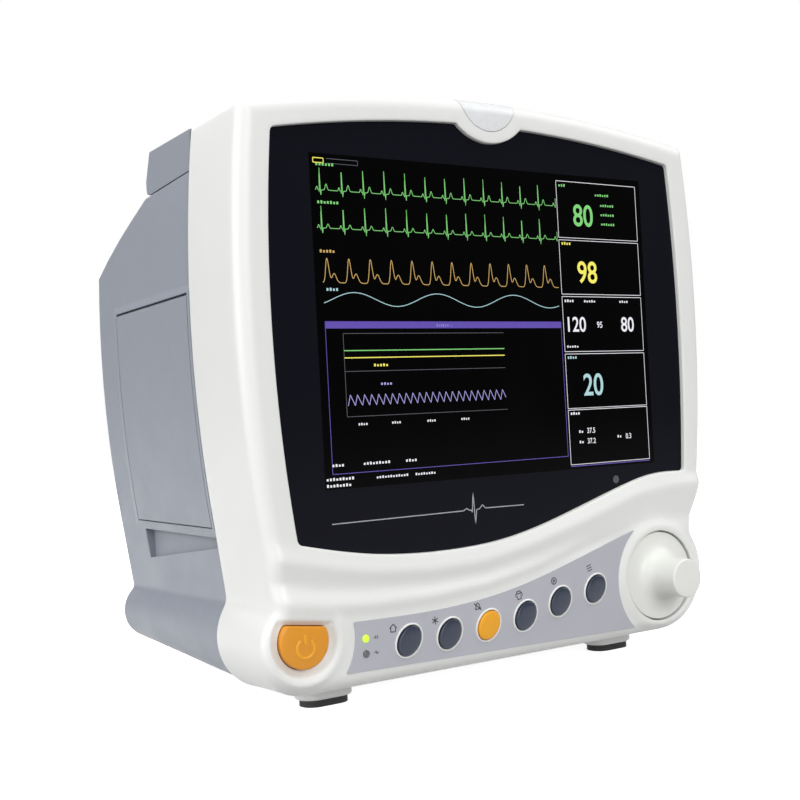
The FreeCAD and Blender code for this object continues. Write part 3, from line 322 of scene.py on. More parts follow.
def facets(x, z):
    """Height of the slanting facets between the lens and the control deck."""
    top = np.interp(x, LENS_FOOT[:, 0], LENS_FOOT[:, 1]) - 1.0
    height = np.zeros(len(x))
    level = np.zeros(len(x))
    for crease in map(np.array, CREASES):
        foot = np.interp(x, crease[:, 0], crease[:, 1])
        target = np.interp(x, crease[:, 0], crease[:, 2])
        height += (target - level) * np.clip((top - z) / (top - foot), 0, 1)
        top, level = foot, target
    deck = BEZEL_FRONT - DECK
    run = np.interp(x, [40.0, 100.0], [2.0, 7.0])
    return height + (deck - level) * np.clip((top - z) / run, 0, 1)


def proud(x, z):
    """How far the sculpted front stands in front of the flat ring, in mm."""
    shifts = (-1.4, -0.7, 0.0, 0.7, 1.4)      # averaging rounds the creases
    height = sum(facets(x, z + shift) for shift in shifts) / len(shifts)
    # on the far left the facets run out into the plain side of the lobe
    plain = (BEZEL_FRONT - DECK) * (1 - smooth_step(z, 60.0, 76.0))
    left = smooth_step(x, -160.5, -154.5)
    return height * left + plain * (1 - left)


def knob_ring(radius):
    """Raised ring round the knob, rolled over towards its hole."""
    ring = 2.9 - 2.9 * smooth_step(radius, 31.0, 39.0) - 6.0 * smooth_step(radius, 37.0, 46.0)
    rolled = 2.9 - 0.9 * ((31.0 - radius) / 2.2) ** 2
    return np.where(radius < 31.0, rolled, ring)


def power_dish(points):
    """Bowl and raised rim round the power button."""
    within = inside(points, BOWL)
    gap = np.where(within, distance(points, BOWL), 0.0)
    bowl = -POWER_BOWL * smooth_step(gap, -0.6, 4.2) + POWER_BOWL * smooth_step(0.0, -0.6, 4.2)
    x, z = points[:, 0] - POWER[0], points[:, 1] - POWER[1]
    rim = 1.2 * np.exp(-((np.hypot(x, z) - POWER_RADIUS - 8.4) / 2.2) ** 2)
    return bowl + rim * (1 - smooth_step(z, 6.0, 16.0))


def roll(gap, radius):
    """Drop of a rounded edge, gap mm away from where it ends."""
    inner = np.clip(radius - gap, 0, radius)
    return radius - np.sqrt(radius**2 - 0.999 * inner**2)


def front_height(points):
    """Y of the bezel's front skin in mm."""
    x, z = points[:, 0], points[:, 1]
    height = proud(x, z)
    radius = np.hypot(x - KNOB[0], z - KNOB[1])
    height = np.where(radius < 46.0, blend_max(knob_ring(radius), height, 1.6), height)
    height += power_dish(points)
    edges = roll(distance(points, OUTLINE), EDGE_ROUND) + roll(distance(points, LENS), 1.1)
    return BEZEL_FRONT - height + edges


# ---- Mesh building ----
def placed(name, data):
    """New object with the given data, linked into the scene."""
    obj = bpy.data.objects.new(name, data)
    bpy.context.collection.objects.link(obj)
    return obj


class Build:
    """Collects vertices in mm and faces, then becomes one named piece."""

    def __init__(self):
        self.verts = []
        self.faces = []

    def points(self, rows):
        """Adds vertices and returns the number of the first."""
        start = len(self.verts)
        self.verts += [tuple(row) for row in rows]
        return start

    def add(self, verts, faces):
        """A patch of its own, whose faces count its vertices from 0."""
        start = self.points(verts)
        self.faces += [tuple(start + i for i in face) for face in faces]

    def strips(self, loops, closed=True):
        """Quads between successive loops of equal length."""
        n = len(loops[0])
        start = self.points(np.vstack(loops))
        for k in range(len(loops) - 1):
            here, above = start + k * n, start + (k + 1) * n
            for i in range(n if closed else n - 1):
                j = (i + 1) % n
                self.faces.append((here + i, here + j, above + j, above + i))

    def fan(self, loop, flip=False):
        """One flat face across a loop."""
        start = self.points(loop)
        face = tuple(range(start, start + len(loop)))
        self.faces.append(face[::-1] if flip else face)

    def piece(self, name, material, body="monitor", node=None, slot=None, smooth=True, weld=False):
        """Named object that rides on a body, in place of a CAD node if one is given."""
        mesh = bpy.data.meshes.new(name)
        mesh.from_pydata([(x * MM, y * MM, z * MM) for x, y, z in self.verts], [], self.faces)
        mesh.validate()
        if weld:
            bm = bmesh.new()
            bm.from_mesh(mesh)
            bmesh.ops.remove_doubles(bm, verts=bm.verts, dist=1e-6)
            bmesh.ops.recalc_face_normals(bm, faces=bm.faces)
            bm.to_mesh(mesh)
            bm.free()
        mesh.materials.append(material)
        obj = placed(name, mesh)
        for polygon in mesh.polygons:
            polygon.use_smooth = smooth
        if smooth:
            with bpy.context.temp_override(object=obj, selected_objects=[obj],
                                           selected_editable_objects=[obj], active_object=obj):
                bpy.ops.object.shade_smooth_by_angle(angle=math.radians(38))
        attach(obj, body)
        if node:
            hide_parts(node)


def at_depth(loop, y):
    """The (x, z) loop as 3-D points at one depth or at a depth per point."""
    depth = np.broadcast_to(y, len(loop))
    return np.c_[loop[:, 0], depth, loop[:, 1]]


def skin(outer, holes, loops, height, spacing):
    """Triangulated surface inside a loop and outside its holes.
    Every loop is followed exactly; between them vertices sit on a fine grid."""
    rims = [outer] + holes + loops
    flat = np.vstack(rims)
    edges, start = [], 0
    for rim in rims:
        steps = np.linalg.norm(np.roll(rim, -1, axis=0) - rim, axis=1)
        joined = np.flatnonzero(steps < LONGEST_STEP)
        edges += [(start + i, start + (i + 1) % len(rim)) for i in joined.tolist()]
        start += len(rim)
    low, high = outer.min(0), outer.max(0)
    xs = np.arange(low[0], high[0], spacing)
    zs = np.arange(low[1], high[1], spacing * 0.87)
    grid = np.array([(x + (k % 2) * spacing / 2, z) for k, z in enumerate(zs) for x in xs])
    grid = grid[inside(grid, outer)]
    for hole in holes:
        grid = grid[~inside(grid, hole)]
    near = np.full(len(grid), 1e9)
    for chunk in range(0, len(grid), 1500):
        part = grid[chunk:chunk + 1500, None, :] - flat[None, :, :]
        near[chunk:chunk + 1500] = np.sqrt((part**2).sum(2)).min(1)
    grid = grid[near > spacing * 0.55]
    points = [Vector(p) for p in np.vstack([flat, grid])]
    verts, _, faces, *_ = delaunay_2d_cdt(points, edges, [], 0, 1e-5, False)
    verts = np.array([(v.x, v.y) for v in verts])
    faces = np.array(faces)
    middle = verts[faces].mean(1)
    keep = inside(middle, outer)
    for hole in holes:
        keep &= ~inside(middle, hole)
    used, faces = np.unique(faces[keep], return_inverse=True)
    verts = verts[used]
    return np.c_[verts[:, 0], height(verts), verts[:, 1]], faces.reshape(-1, 3)


def wall(build, loop, height, y_end, closed=True):
    """Wall of a hole, from the skin straight back to a depth."""
    build.strips([at_depth(loop, height(loop)), at_depth(loop, y_end)], closed=closed)


def lathe(build, profile, centre, count=128):
    """Surface of revolution about a line along Y from (radius, y) points."""
    build.strips([at_depth(circle(centre, max(radius, 1e-4), count), y) for radius, y in profile])


def rounded_slab(build, x0, x1, y0, y1, z0, z1, corner, edge):
    """Upright slab with rounded plan corners and a rounded lower edge."""
    plan = []
    for cx, cy, a in ((x1 - corner, y1 - corner, 0), (x0 + corner, y1 - corner, 90),
                      (x0 + corner, y0 + corner, 180), (x1 - corner, y0 + corner, 270)):
        plan += [on_circle((cx, cy), corner, a + 90 * i / 8) for i in range(9)]
    plan = np.array(plan)
    centre = np.array([(x0 + x1) / 2, (y0 + y1) / 2])
    loops = []
    for t in np.linspace(0, 90, 6):
        shrink = edge * (1 - math.sin(math.radians(t)))
        z = z0 + edge * (1 - math.cos(math.radians(t)))
        ring = plan - np.sign(plan - centre) * shrink
        loops.append(np.c_[ring, np.full(len(ring), z)])
    loops.append(np.c_[plan, np.full(len(plan), z1)])
    build.strips(loops)
    build.fan(loops[0], flip=True)
    build.fan(loops[-1])


# ---- Materials ----
def srgb(r, g, b):
    """Linear colour from 0-255 screen values."""
    shares = [value / 255 for value in (r, g, b)]
    return (*(v / 12.92 if v <= 0.04045 else ((v + 0.055) / 1.055) ** 2.4 for v in shares), 1.0)


class Nodes:
    """Short names for wiring up a material."""

    def __init__(self, name):
        self.material = bpy.data.materials.new(name)
        self.material.use_nodes = True
        self.tree = self.material.node_tree
        self.shader = self.tree.nodes["Principled BSDF"]

    def node(self, kind, **values):
        made = self.tree.nodes.new("ShaderNode" + kind)
        for key, value in values.items():
            if key in made.inputs:
                made.inputs[key].default_value = value
            else:
                setattr(made, key, value)
        return made

    def link(self, source, target):
        self.tree.links.new(source, target)

    def set(self, **values):
        for key, value in values.items():
            self.shader.inputs[key.replace("_", " ")].default_value = value

    def noise(self, scale, detail=4.0, rough=0.55, stretch=None):
        where = self.node("TexCoord").outputs["Object"]
        if stretch:
            mapping = self.node("Mapping", Scale=stretch)
            self.link(where, mapping.inputs["Vector"])
            where = mapping.outputs["Vector"]
        made = self.node("TexNoise", Scale=scale, Detail=detail, Roughness=rough)
        self.link(where, made.inputs["Vector"])
        return made.outputs["Fac"]

    def ramp(self, source, low, high, a, b):
        """Maps a value range to another."""
        made = self.node("MapRange", **{"From Min": low, "From Max": high, "To Min": a, "To Max": b})
        self.link(source, made.inputs["Value"])
        return made.outputs["Result"]

    def mix(self, factor, a, b):
        made = self.node("Mix", data_type="RGBA")
        for socket, value in ((made.inputs[0], factor), (made.inputs[6], a), (made.inputs[7], b)):
            if isinstance(value, (tuple, float)):
                socket.default_value = value
            else:
                self.link(value, socket)
        return made.outputs[2]

    def color(self, source, low, high, share, a, b):
        """Base colour that runs from a towards b by up to share as the source rises."""
        base = self.mix(self.ramp(source, low, high, 0.0, share), a, b)
        self.link(base, self.shader.inputs["Base Color"])

    def rough(self, source, low, high, a, b):
        self.link(self.ramp(source, low, high, a, b), self.shader.inputs["Roughness"])

    def bump(self, source, strength, depth, edge=0.0):
        """Surface relief from a value, over softened edges."""
        made = self.node("Bump", Strength=strength, Distance=depth)
        self.link(source, made.inputs["Height"])
        if edge:
            bevel = self.node("Bevel", Radius=edge, samples=4)
            self.link(bevel.outputs["Normal"], made.inputs["Normal"])
        self.link(made.outputs["Normal"], self.shader.inputs["Normal"])

    def crevice(self, reach):
        """1 in the open, falling to 0 in gaps and inner corners."""
        return self.node("AmbientOcclusion", samples=6, Distance=reach).outputs["AO"]


def shade(color, factor):
    return (color[0] * factor, color[1] * factor, color[2] * factor, 1.0)


def moulded(name, color, rough=0.42, relief=0.06, edge=0.0):
    """Injection-moulded plastic: spark-eroded grain, faint flow clouding,
    handling polish and painted shade that darkens the gaps and inner corners."""
    m = Nodes(name)
    red, green, blue = color[:3]
    warmer = (red * 0.985, green * 0.985, blue * 0.985 * 0.99, 1.0)
    base = m.mix(m.ramp(m.noise(14.0, 3.0), 0.3, 0.7, 0.0, 1.0), color, warmer)
    # painted shade: ambient occlusion pulls the base colour towards a darker copy in gaps and inner
    # corners
    gap = m.ramp(m.crevice(0.006), 0.35, 0.95, 1.0, 0.0)
    m.color(gap, 0.0, 1.0, 0.1, base, shade(color, 0.35))
    m.rough(m.noise(38.0, 5.0, 0.65), 0.35, 0.7, rough - 0.05, rough + 0.07)
    m.bump(m.noise(2600.0, 2.0), relief, 0.0001, edge)
    return m.material


def glossy_window(name, color):
    """Dark acrylic window: polished, with wiping haze and sparse dust."""
    m = Nodes(name)
    haze = m.noise(24.0, 5.0, 0.6, stretch=(1.0, 1.0, 0.35))
    m.color(m.noise(900.0, 2.0), 0.74, 0.8, 1.0, color, shade(color, 2.2))
    m.rough(haze, 0.3, 0.75, 0.1, 0.2)
    m.set(Specular_IOR_Level=0.03)
    m.bump(haze, 0.02, 0.0004)
    return m.material


def rubber(name):
    """Black rubber with paler scuffs."""
    m = Nodes(name)
    scuff = m.noise(180.0, 6.0, 0.7)
    m.color(scuff, 0.55, 0.8, 0.5, (0.012, 0.012, 0.013, 1.0), (0.02, 0.02, 0.02, 1.0))
    m.rough(scuff, 0.3, 0.8, 0.6, 0.85)
    m.bump(m.noise(1500.0, 3.0), 0.25, 0.0002, 0.0006)
    return m.material


def metal(name, color, rough=0.32, stretch=(1.0, 1.0, 30.0), scale=220.0):
    """Turned or rolled metal with fine lines and faint stains."""
    m = Nodes(name)
    lines = m.noise(scale, 4.0, 0.6, stretch=stretch)
    m.color(m.noise(30.0, 4.0), 0.45, 0.8, 0.5, color, shade(color, 0.75))
    m.set(Metallic=1.0)
    m.rough(lines, 0.3, 0.7, rough - 0.08, rough + 0.14)
    m.bump(lines, 0.12, 0.0001, 0.0003)
    return m.material


def circuit_board(name):
    """Green solder mask over a lattice of tracks."""
    m = Nodes(name)
    brick = m.node("TexBrick", **{"Scale": 120.0, "Mortar Size": 0.03})
    m.link(m.node("TexCoord").outputs["Object"], brick.inputs["Vector"])
    tracks = m.ramp(m.noise(260.0, 1.0, 0.3), 0.48, 0.52, 0.0, 1.0)
    base = m.mix(tracks, (0.008, 0.07, 0.025, 1.0), (0.02, 0.16, 0.06, 1.0))
    m.link(m.mix(brick.outputs["Fac"], base, (0.03, 0.2, 0.08, 1.0)), m.shader.inputs["Base Color"])
    m.rough(tracks, 0.0, 1.0, 0.3, 0.45)
    m.bump(tracks, 0.2, 0.0001)
    return m.material


def paper(name):
    """Matt paper with fibres lying one way."""
    m = Nodes(name)
    fibre = m.noise(600.0, 6.0, 0.7, stretch=(1.0, 6.0, 1.0))
    m.color(fibre, 0.3, 0.7, 1.0, (0.78, 0.77, 0.72, 1.0), (0.86, 0.86, 0.82, 1.0))
    m.set(Roughness=0.85)
    m.bump(fibre, 0.15, 0.0001)
    return m.material


def frosted_lamp(name, color, glow=0.0, glow_color=None):
    """Translucent lens with a soft inner cloud."""
    m = Nodes(name)
    cloud = m.noise(70.0, 3.0)
    m.color(cloud, 0.3, 0.7, 1.0, color, shade(color, 0.93))
    m.rough(cloud, 0.3, 0.7, 0.2, 0.32)
    m.set(Subsurface_Weight=0.25, Subsurface_Radius=(0.004, 0.004, 0.004), Subsurface_Scale=1.0)
    if glow:
        m.set(Emission_Color=glow_color)
        m.link(m.ramp(cloud, 0.2, 0.8, glow * 0.8, glow), m.shader.inputs["Emission Strength"])
    m.bump(m.noise(900.0, 2.0), 0.05, 0.0001)
    return m.material


def screen_light(name, color, strength):
    """Lit pixels: emission broken up by a fine pixel grid."""
    m = Nodes(name)
    wave = m.node("TexWave", Scale=420.0, wave_type="BANDS", bands_direction="Z")
    m.link(m.node("TexCoord").outputs["Object"], wave.inputs["Vector"])
    m.set(Base_Color=shade(color, 0.2), Roughness=0.3, Emission_Color=color)
    glow = m.ramp(wave.outputs["Fac"], 0.0, 1.0, strength * 0.85, strength)
    m.link(glow, m.shader.inputs["Emission Strength"])
    return m.material


def printed_film(name, color):
    """Screen-printed polyester: fine weave, slight orange peel, satin."""
    m = Nodes(name)
    peel = m.noise(420.0, 2.0)
    m.color(m.noise(9.0, 2.0), 0.3, 0.7, 1.0, color, shade(color, 0.95))
    m.rough(peel, 0.3, 0.7, 0.38, 0.5)
    m.bump(peel, 0.08, 0.0001, 0.0002)
    return m.material


WHITE = moulded("bezel_plastic", srgb(233, 234, 232), rough=0.42)
WHITE_CAD = moulded("socket_panel_plastic", srgb(222, 224, 224), rough=0.42, edge=0.0004)
KNOB_WHITE = moulded("knob_plastic", srgb(232, 233, 229), rough=0.34, relief=0.04)
GREY = moulded("housing_plastic", srgb(142, 147, 158), rough=0.5, relief=0.12, edge=0.0009)
BLACK = moulded("black_plastic", (0.02, 0.02, 0.022, 1.0), rough=0.45, edge=0.0003)
SLATE = moulded("slate_key_plastic", srgb(26, 36, 58), rough=0.36, relief=0.05)
ORANGE = moulded("orange_key_plastic", srgb(236, 163, 10), rough=0.42, relief=0.04)
AMBER = moulded("amber_button_plastic", srgb(222, 145, 4), rough=0.42, relief=0.04)
LENS_GLASS = glossy_window("window_acrylic", srgb(20, 21, 28))
DISPLAY_BLACK = glossy_window("display_surface", (0.0012, 0.0012, 0.0014, 1.0))
LABEL_FILM = printed_film("label_film", srgb(181, 182, 190))
INK = printed_film("dark_ink", srgb(52, 54, 62))
RUBBER = rubber("foot_rubber")
STEEL = metal("plated_steel", (0.62, 0.62, 0.63, 1.0))
SHEET = metal("zinc_sheet", (0.55, 0.56, 0.56, 1.0), rough=0.4, stretch=(1, 1, 1), scale=60.0)
BRASS = metal("turned_brass", (0.78, 0.58, 0.28, 1.0), rough=0.28)
BOARD = circuit_board("circuit_board")
PAPER = paper("thermal_paper")
LAMP_WHITE = frosted_lamp("alarm_lamp_acrylic", srgb(234, 236, 238))
LAMP_GREEN = frosted_lamp("lit_green_lens", srgb(170, 205, 40), 1.1, srgb(176, 226, 40))
LAMP_GREY = frosted_lamp("dark_status_lens", srgb(96, 98, 100))


# ---- Bezel ----
def bezel():
    """One skin over the whole front, the walls of its holes, side, back and foot bosses."""
    rim = even(OUTLINE, 2.0)
    well = circle(KNOB, 28.9, 120)
    lamp = circle(ALARM, ALARM_RADIUS + 0.3, 160)
    holes = [LENS, offset(BUTTON, -0.45, 0.8), well]
    holes += [key_loop(centre, 0.3) for centre in KEYS.values()]
    holes += [circle(centre, 2.25, 24) for centre in LAMPS]
    followed = [offset(LENS, -d, 1.5) for d in (0.2, 0.55, 1.1)]
    followed += [circle(KNOB, r, 120) for r in (29.3, 29.9, 31.0, 32.5, 34.0, 36.0, 38.0, 40.5)]
    followed += [offset(BOWL, d, 1.0) for d in (2.0, 1.2, 0.4, -0.4, -1.4, -3.0, -5.0)]
    followed = [clear_of_edge(loop) for loop in followed]
    followed += [offset(OUTLINE, d, 1.2 if d < 4 else 2.0) for d in EDGE_GAPS]
    build = Build()
    build.add(*skin(rim, holes + [lamp], followed, front_height, GRID))
    for hole in holes:
        wall(build, hole, front_height, HOLE_FLOOR)
    wall(build, lamp[inside(lamp, OUTLINE)], front_height, HOLE_FLOOR, closed=False)
    build.fan(at_depth(well, HOLE_FLOOR), flip=True)
    bezel_side(build, rim)
    bezel_web(build)
    half_x, half_y = FOOT_BOSS
    for x in (-FOOT[0], FOOT[0]):
        rounded_slab(build, x - half_x, x + half_x, FOOT[1] - half_y, FOOT[1] + half_y,
                     *FOOT_BOSS_Z, 9.0, 1.2)
    build.piece("bezel_shell", WHITE, node="front_bezel", slot="bezel_white", weld=True)


def bezel_side(build, rim):
    """Side wall from the rounded front edge to the seam, and the rim there."""
    front = front_height(rim)
    target = nearest(rim, SEAM_OUTLINE)
    rings = []
    for share in (0.0, 0.08, 0.3, 0.6, 0.97):
        rings.append(at_depth(rim + (target - rim) * share, front + (SEAM - front) * share))
    normal = inward(target)
    for inset, back in ((0.1, 0.9), (0.35, 0.3), (1.0, 0.0), (4.0, 0.0), (4.0, 8.0)):
        rings.append(at_depth(target + normal * inset, SEAM - back))
    build.strips(rings)


def bezel_web(build):
    """Wall across the back of the bezel, in front of the handle channel."""
    edge = offset(SEAM_OUTLINE, 3.9, 2.0)
    top = edge[edge[:, 1] > WEB_FOOT]
    top = top[np.argsort(top[:, 0])]
    foot = np.c_[top[:, 0], np.full(len(top), WEB_FOOT)]
    corners = ((top, SEAM), (foot, SEAM), (foot, SEAM - WEB), (top, SEAM - WEB))
    build.strips([at_depth(row, y) for row, y in corners], closed=False)


def alarm_lamp():
    """Half disc with the same rounded front as the bezel round it."""
    disc = circle(ALARM, ALARM_RADIUS, 160)
    edge = offset(OUTLINE, -0.15, 0.7)
    outer = edge[inside(edge, disc)]
    outer = outer[np.argsort(-outer[:, 0])]
    lower = disc[inside(disc, OUTLINE)]
    lower = lower[np.argsort(lower[:, 0])]
    rim = np.vstack([lower, outer])
    build = Build()
    build.add(*skin(rim, [], [], lamp_height, 0.9))
    wall(build, rim, lamp_height, -93.0)
    build.piece("alarm_lamp", LAMP_WHITE, node="alarm_lamp_lens", slot="lamp_white")


def lamp_height(points):
    """The lamp stands a hair proud of the bezel."""
    return front_height(points) - 0.15


# ---- Controls ----
def domed(build, loops, heights):
    """Button cap: successive loops at their own depths, closed by a fan."""
    build.strips([at_depth(loop, y) for loop, y in zip(loops, heights)])
    build.fan(at_depth(loops[-1], heights[-1]))


def keys():
    """Six oval caps, the third one orange."""
    steps = [(0.0, HOLE_FLOOR), (0.0, -105.4), (0.08, -105.75), (0.3, -106.05), (0.7, -106.28),
             (1.4, -106.44), (2.6, -106.56), (4.2, -106.64), (6.2, -106.68)]
    for name, centre in KEYS.items():
        build = Build()
        domed(build, [key_loop(centre, -shrink) for shrink, _ in steps], [y for _, y in steps])
        material, slot = (ORANGE, "key_orange") if name == "silence_key" else (SLATE, "key_slate")
        build.piece(name + "_cap", material, name + "_body", name, slot)


def key_collars():
    """Rounded white rim round every key, standing on the label."""
    build = Build()
    for centre in KEYS.values():
        loops = [at_depth(key_loop(centre, 0.3), -98.0)]
        for angle in np.linspace(0, math.pi, 9):
            grow = (COLLAR + 0.3) / 2 - (COLLAR - 0.3) / 2 * math.cos(angle)
            loops.append(at_depth(key_loop(centre, grow), LABEL_FRONT + 0.1 - 0.9 * math.sin(angle)))
        build.strips(loops)
    build.piece("key_collars", WHITE)


def sideways(points):
    """Unit normals along a line of (x, z) points."""
    ahead = np.gradient(points, axis=0)
    ahead /= np.linalg.norm(ahead, axis=1)[:, None] + 1e-9
    return np.c_[-ahead[:, 1], ahead[:, 0]]


def stroke(build, points, width, y, rise):
    """Thin flat line of constant width through (x, z) points."""
    points = np.array(points, float)
    side = sideways(points) * width / 2
    left, right = points + side, points - side
    rows = ((left, y + rise), (left, y), (right, y), (right, y + rise))
    build.strips([at_depth(row, depth) for row, depth in rows], closed=False)


def power_button():
    """Domed cap with an embossed open ring and bar."""
    build = Build()
    centre = BUTTON.mean(0)
    steps = [(1.0, HOLE_FLOOR), (1.0, -104.0), (0.994, -104.5), (0.975, -104.85), (0.94, -105.05),
             (0.86, -105.2), (0.7, -105.4), (0.45, -105.55), (0.2, -105.6)]
    domed(build, [centre + (BUTTON - centre) * scale for scale, _ in steps], [y for _, y in steps])
    build.piece("power_button_cap", AMBER, "power", "power_button", "power_orange")
    mark = Build()
    x, z = POWER[0] - 0.2, POWER[1] - 3.3
    ring = [on_circle((x, z), 5.1, 90 + a) for a in np.linspace(34, 326, 40)]
    bar = [(x, z + 2.2), (x, z + 4.8), (x, z + 7.4)]
    for path in (ring, bar):
        embossed(mark, path, 0.9, -105.3, 0.75)
    mark.piece("power_symbol", ORANGE, "power")


def embossed(build, points, half_width, y, rise):
    """Rounded raised line that follows (x, z) points."""
    points = np.array(points, float)
    side = sideways(points) * half_width
    rows = []
    for i in range(7):
        angle = math.pi * i / 6
        rows.append(at_depth(points + side * math.cos(angle), y - rise * math.sin(angle)))
    build.strips(rows, closed=False)
    for end in (0, -1):
        build.fan([row[end] for row in rows], flip=end == 0)


def quarter(radius, y, size, count):
    """Rounded outer edge of a turned piece, from its rim towards its face."""
    turns = np.linspace(0, math.pi / 2, count)[1:]
    return [(radius - size * (1 - math.cos(t)), y - size * math.sin(t)) for t in turns]


def menu_knob():
    """Wide disc flowing through a hollow curve into a round grip."""
    disc, grip, edge = 28.0, 12.2, 0.9
    build = Build()
    profile = [(2.0, -98.6), (disc - 0.4, -98.6), (disc, -99.0), (disc, -103.2)]
    profile += quarter(disc, -103.2, edge, 5)
    for t in np.linspace(0, 1, 28)[1:]:
        radius = disc - edge - (disc - edge - grip - 0.1) * (1 - (1 - t) ** 1.9)
        profile.append((radius, -104.1 - 15.0 * t ** 2.9))
    profile += [(grip, -122.0), (grip, -127.8)] + quarter(grip, -127.8, 1.1, 7)
    profile += [(8.0, -128.93), (4.0, -128.96), (0.0, -128.98)]
    lathe(build, profile, KNOB)
    build.piece("menu_knob_body", KNOB_WHITE, "knob", "menu_knob", "knob_white")


def status_lamps():
    """Small domes: the upper one lit, the lower one dark."""
    kinds = (("mains_lamp", LAMP_GREEN, "lamp_green"), ("run_lamp", LAMP_GREY, "lamp_grey"))
    for centre, (name, material, slot) in zip(LAMPS, kinds):
        build = Build()
        profile = [(2.1, HOLE_FLOOR), (2.1, -104.7)]
        profile += [(2.1 * math.cos(t), -104.7 - 0.9 * math.sin(t))
                    for t in np.linspace(0, math.pi / 2, 8)[1:]]
        lathe(build, profile, centre, 40)
        build.piece(name + "_dome", material, node=name + "_lens", slot=slot)


def label_loop():
    """Outline of the film, from the power button to the knob."""
    return softened(trace(
        (-112.4, 51.5),
        [(-55.0, 51.2), (0.0, 57.0), (45.0, 67.8), (98.0, 82.2)],
        [(81.8, 51.0), (94.0, 20.5)],
        [(-118.7, 24.0)],
        [(-112.5, 37.2), (-112.4, 51.5)],
    ), 0.7, 0.35)


def label():
    """Printed film with a hole for every key and lamp."""
    rim = even(label_loop(), 1.2)
    holes = [key_loop(centre, COLLAR / 2) for centre in KEYS.values()]
    holes += [circle(centre, 2.2, 24) for centre in LAMPS]
    build = Build()
    build.add(*skin(rim, holes, [], lambda points: np.full(len(points), LABEL_FRONT), 4.0))
    build.strips([at_depth(rim, LABEL_FRONT), at_depth(rim, DECK + 0.3)])
    build.piece("control_label_film", LABEL_FILM, node="control_label", slot="label_lilac")


def pictogram_strokes():
    """Line drawings in a unit square: house, snowflake, struck-out bell,
    printer, play in a ring, list."""
    ring = [on_circle((0, 0), 0.5, a) for a in range(0, 361, 20)]
    roof = [(-0.6, 0.0), (0, 0.6), (0.6, 0.0)]
    walls = [(-0.4, 0.1), (-0.4, -0.5), (0.4, -0.5), (0.4, 0.1)]
    flake = [[on_circle((0, 0), 0.6, a), on_circle((0, 0), 0.6, a + 180)] for a in (30, 90, 150)]
    bell = [(-0.5, -0.35), (-0.35, -0.1), (-0.3, 0.3), (0, 0.55), (0.3, 0.3), (0.35, -0.1),
            (0.5, -0.35), (-0.5, -0.35)]
    printer = [(-0.6, -0.2), (-0.6, 0.25), (0.6, 0.25), (0.6, -0.2)]
    sheet_in = [(-0.35, 0.25), (-0.35, 0.6), (0.35, 0.6), (0.35, 0.25)]
    sheet_out = [(-0.35, -0.05), (-0.35, -0.6), (0.35, -0.6), (0.35, -0.05)]
    arrow = [(-0.15, 0.25), (0.25, 0.0), (-0.15, -0.25), (-0.15, 0.25)]
    return {
        "main_key": [roof, walls],
        "freeze_key": flake,
        "silence_key": [bell, [(-0.6, 0.6), (0.6, -0.6)]],
        "record_key": [printer, sheet_in, sheet_out],
        "start_key": [ring, arrow],
        "menu_key": [[(-0.5, z), (0.5, z)] for z in (0.4, 0.0, -0.4)],
    }


def lamp_strokes():
    """A mains plug and a running trace, in mm from beside each lamp."""
    plug = [[(0.0, 0.0), (1.2, 0.0)], [(1.2, -0.9), (1.2, 0.9)], [(2.2, -0.9), (2.2, 0.9)],
            [(2.2, 0.5), (3.0, 0.5)], [(2.2, -0.5), (3.0, -0.5)]]
    trace_line = [[(0.0, 0.0), (0.8, 0.0), (1.2, 1.0), (1.8, -1.0), (2.2, 0.0), (3.2, 0.0)]]
    return [plug, trace_line]


def densified(points, count=6):
    """The line with its legs split up, so that its width stays even at corners."""
    found = []
    for a, b in zip(points[:-1], points[1:]):
        for t in np.linspace(0, 1, count, endpoint=False):
            found.append((a[0] + (b[0] - a[0]) * t, a[1] + (b[1] - a[1]) * t))
    return found + [points[-1]]


def icons():
    """The pictograms over the keys and beside the lamps."""
    build = Build()
    y = LABEL_FRONT - 0.06
    for name, lines in pictogram_strokes().items():
        lean, across, up = PICTOGRAM_PLACES[name]
        x0, z0 = KEYS[name][0] + across, KEYS[name][1] + up
        for line in lines:
            leaning = [turned(u * PICTOGRAM, v * PICTOGRAM, lean) for u, v in line]
            stroke(build, densified([(x0 + u, z0 + v) for u, v in leaning]), 0.6, y, 0.05)
    for (x, z), lines in zip(LAMPS, lamp_strokes()):
        for line in lines:
            stroke(build, densified([(x + 5.0 + u, z + v) for u, v in line]), 0.4, y, 0.05)
    build.piece("label_pictograms", INK, smooth=False)


# ---- Display window and screen picture ----
SCREEN_Y = LENS_FRONT - 0.05


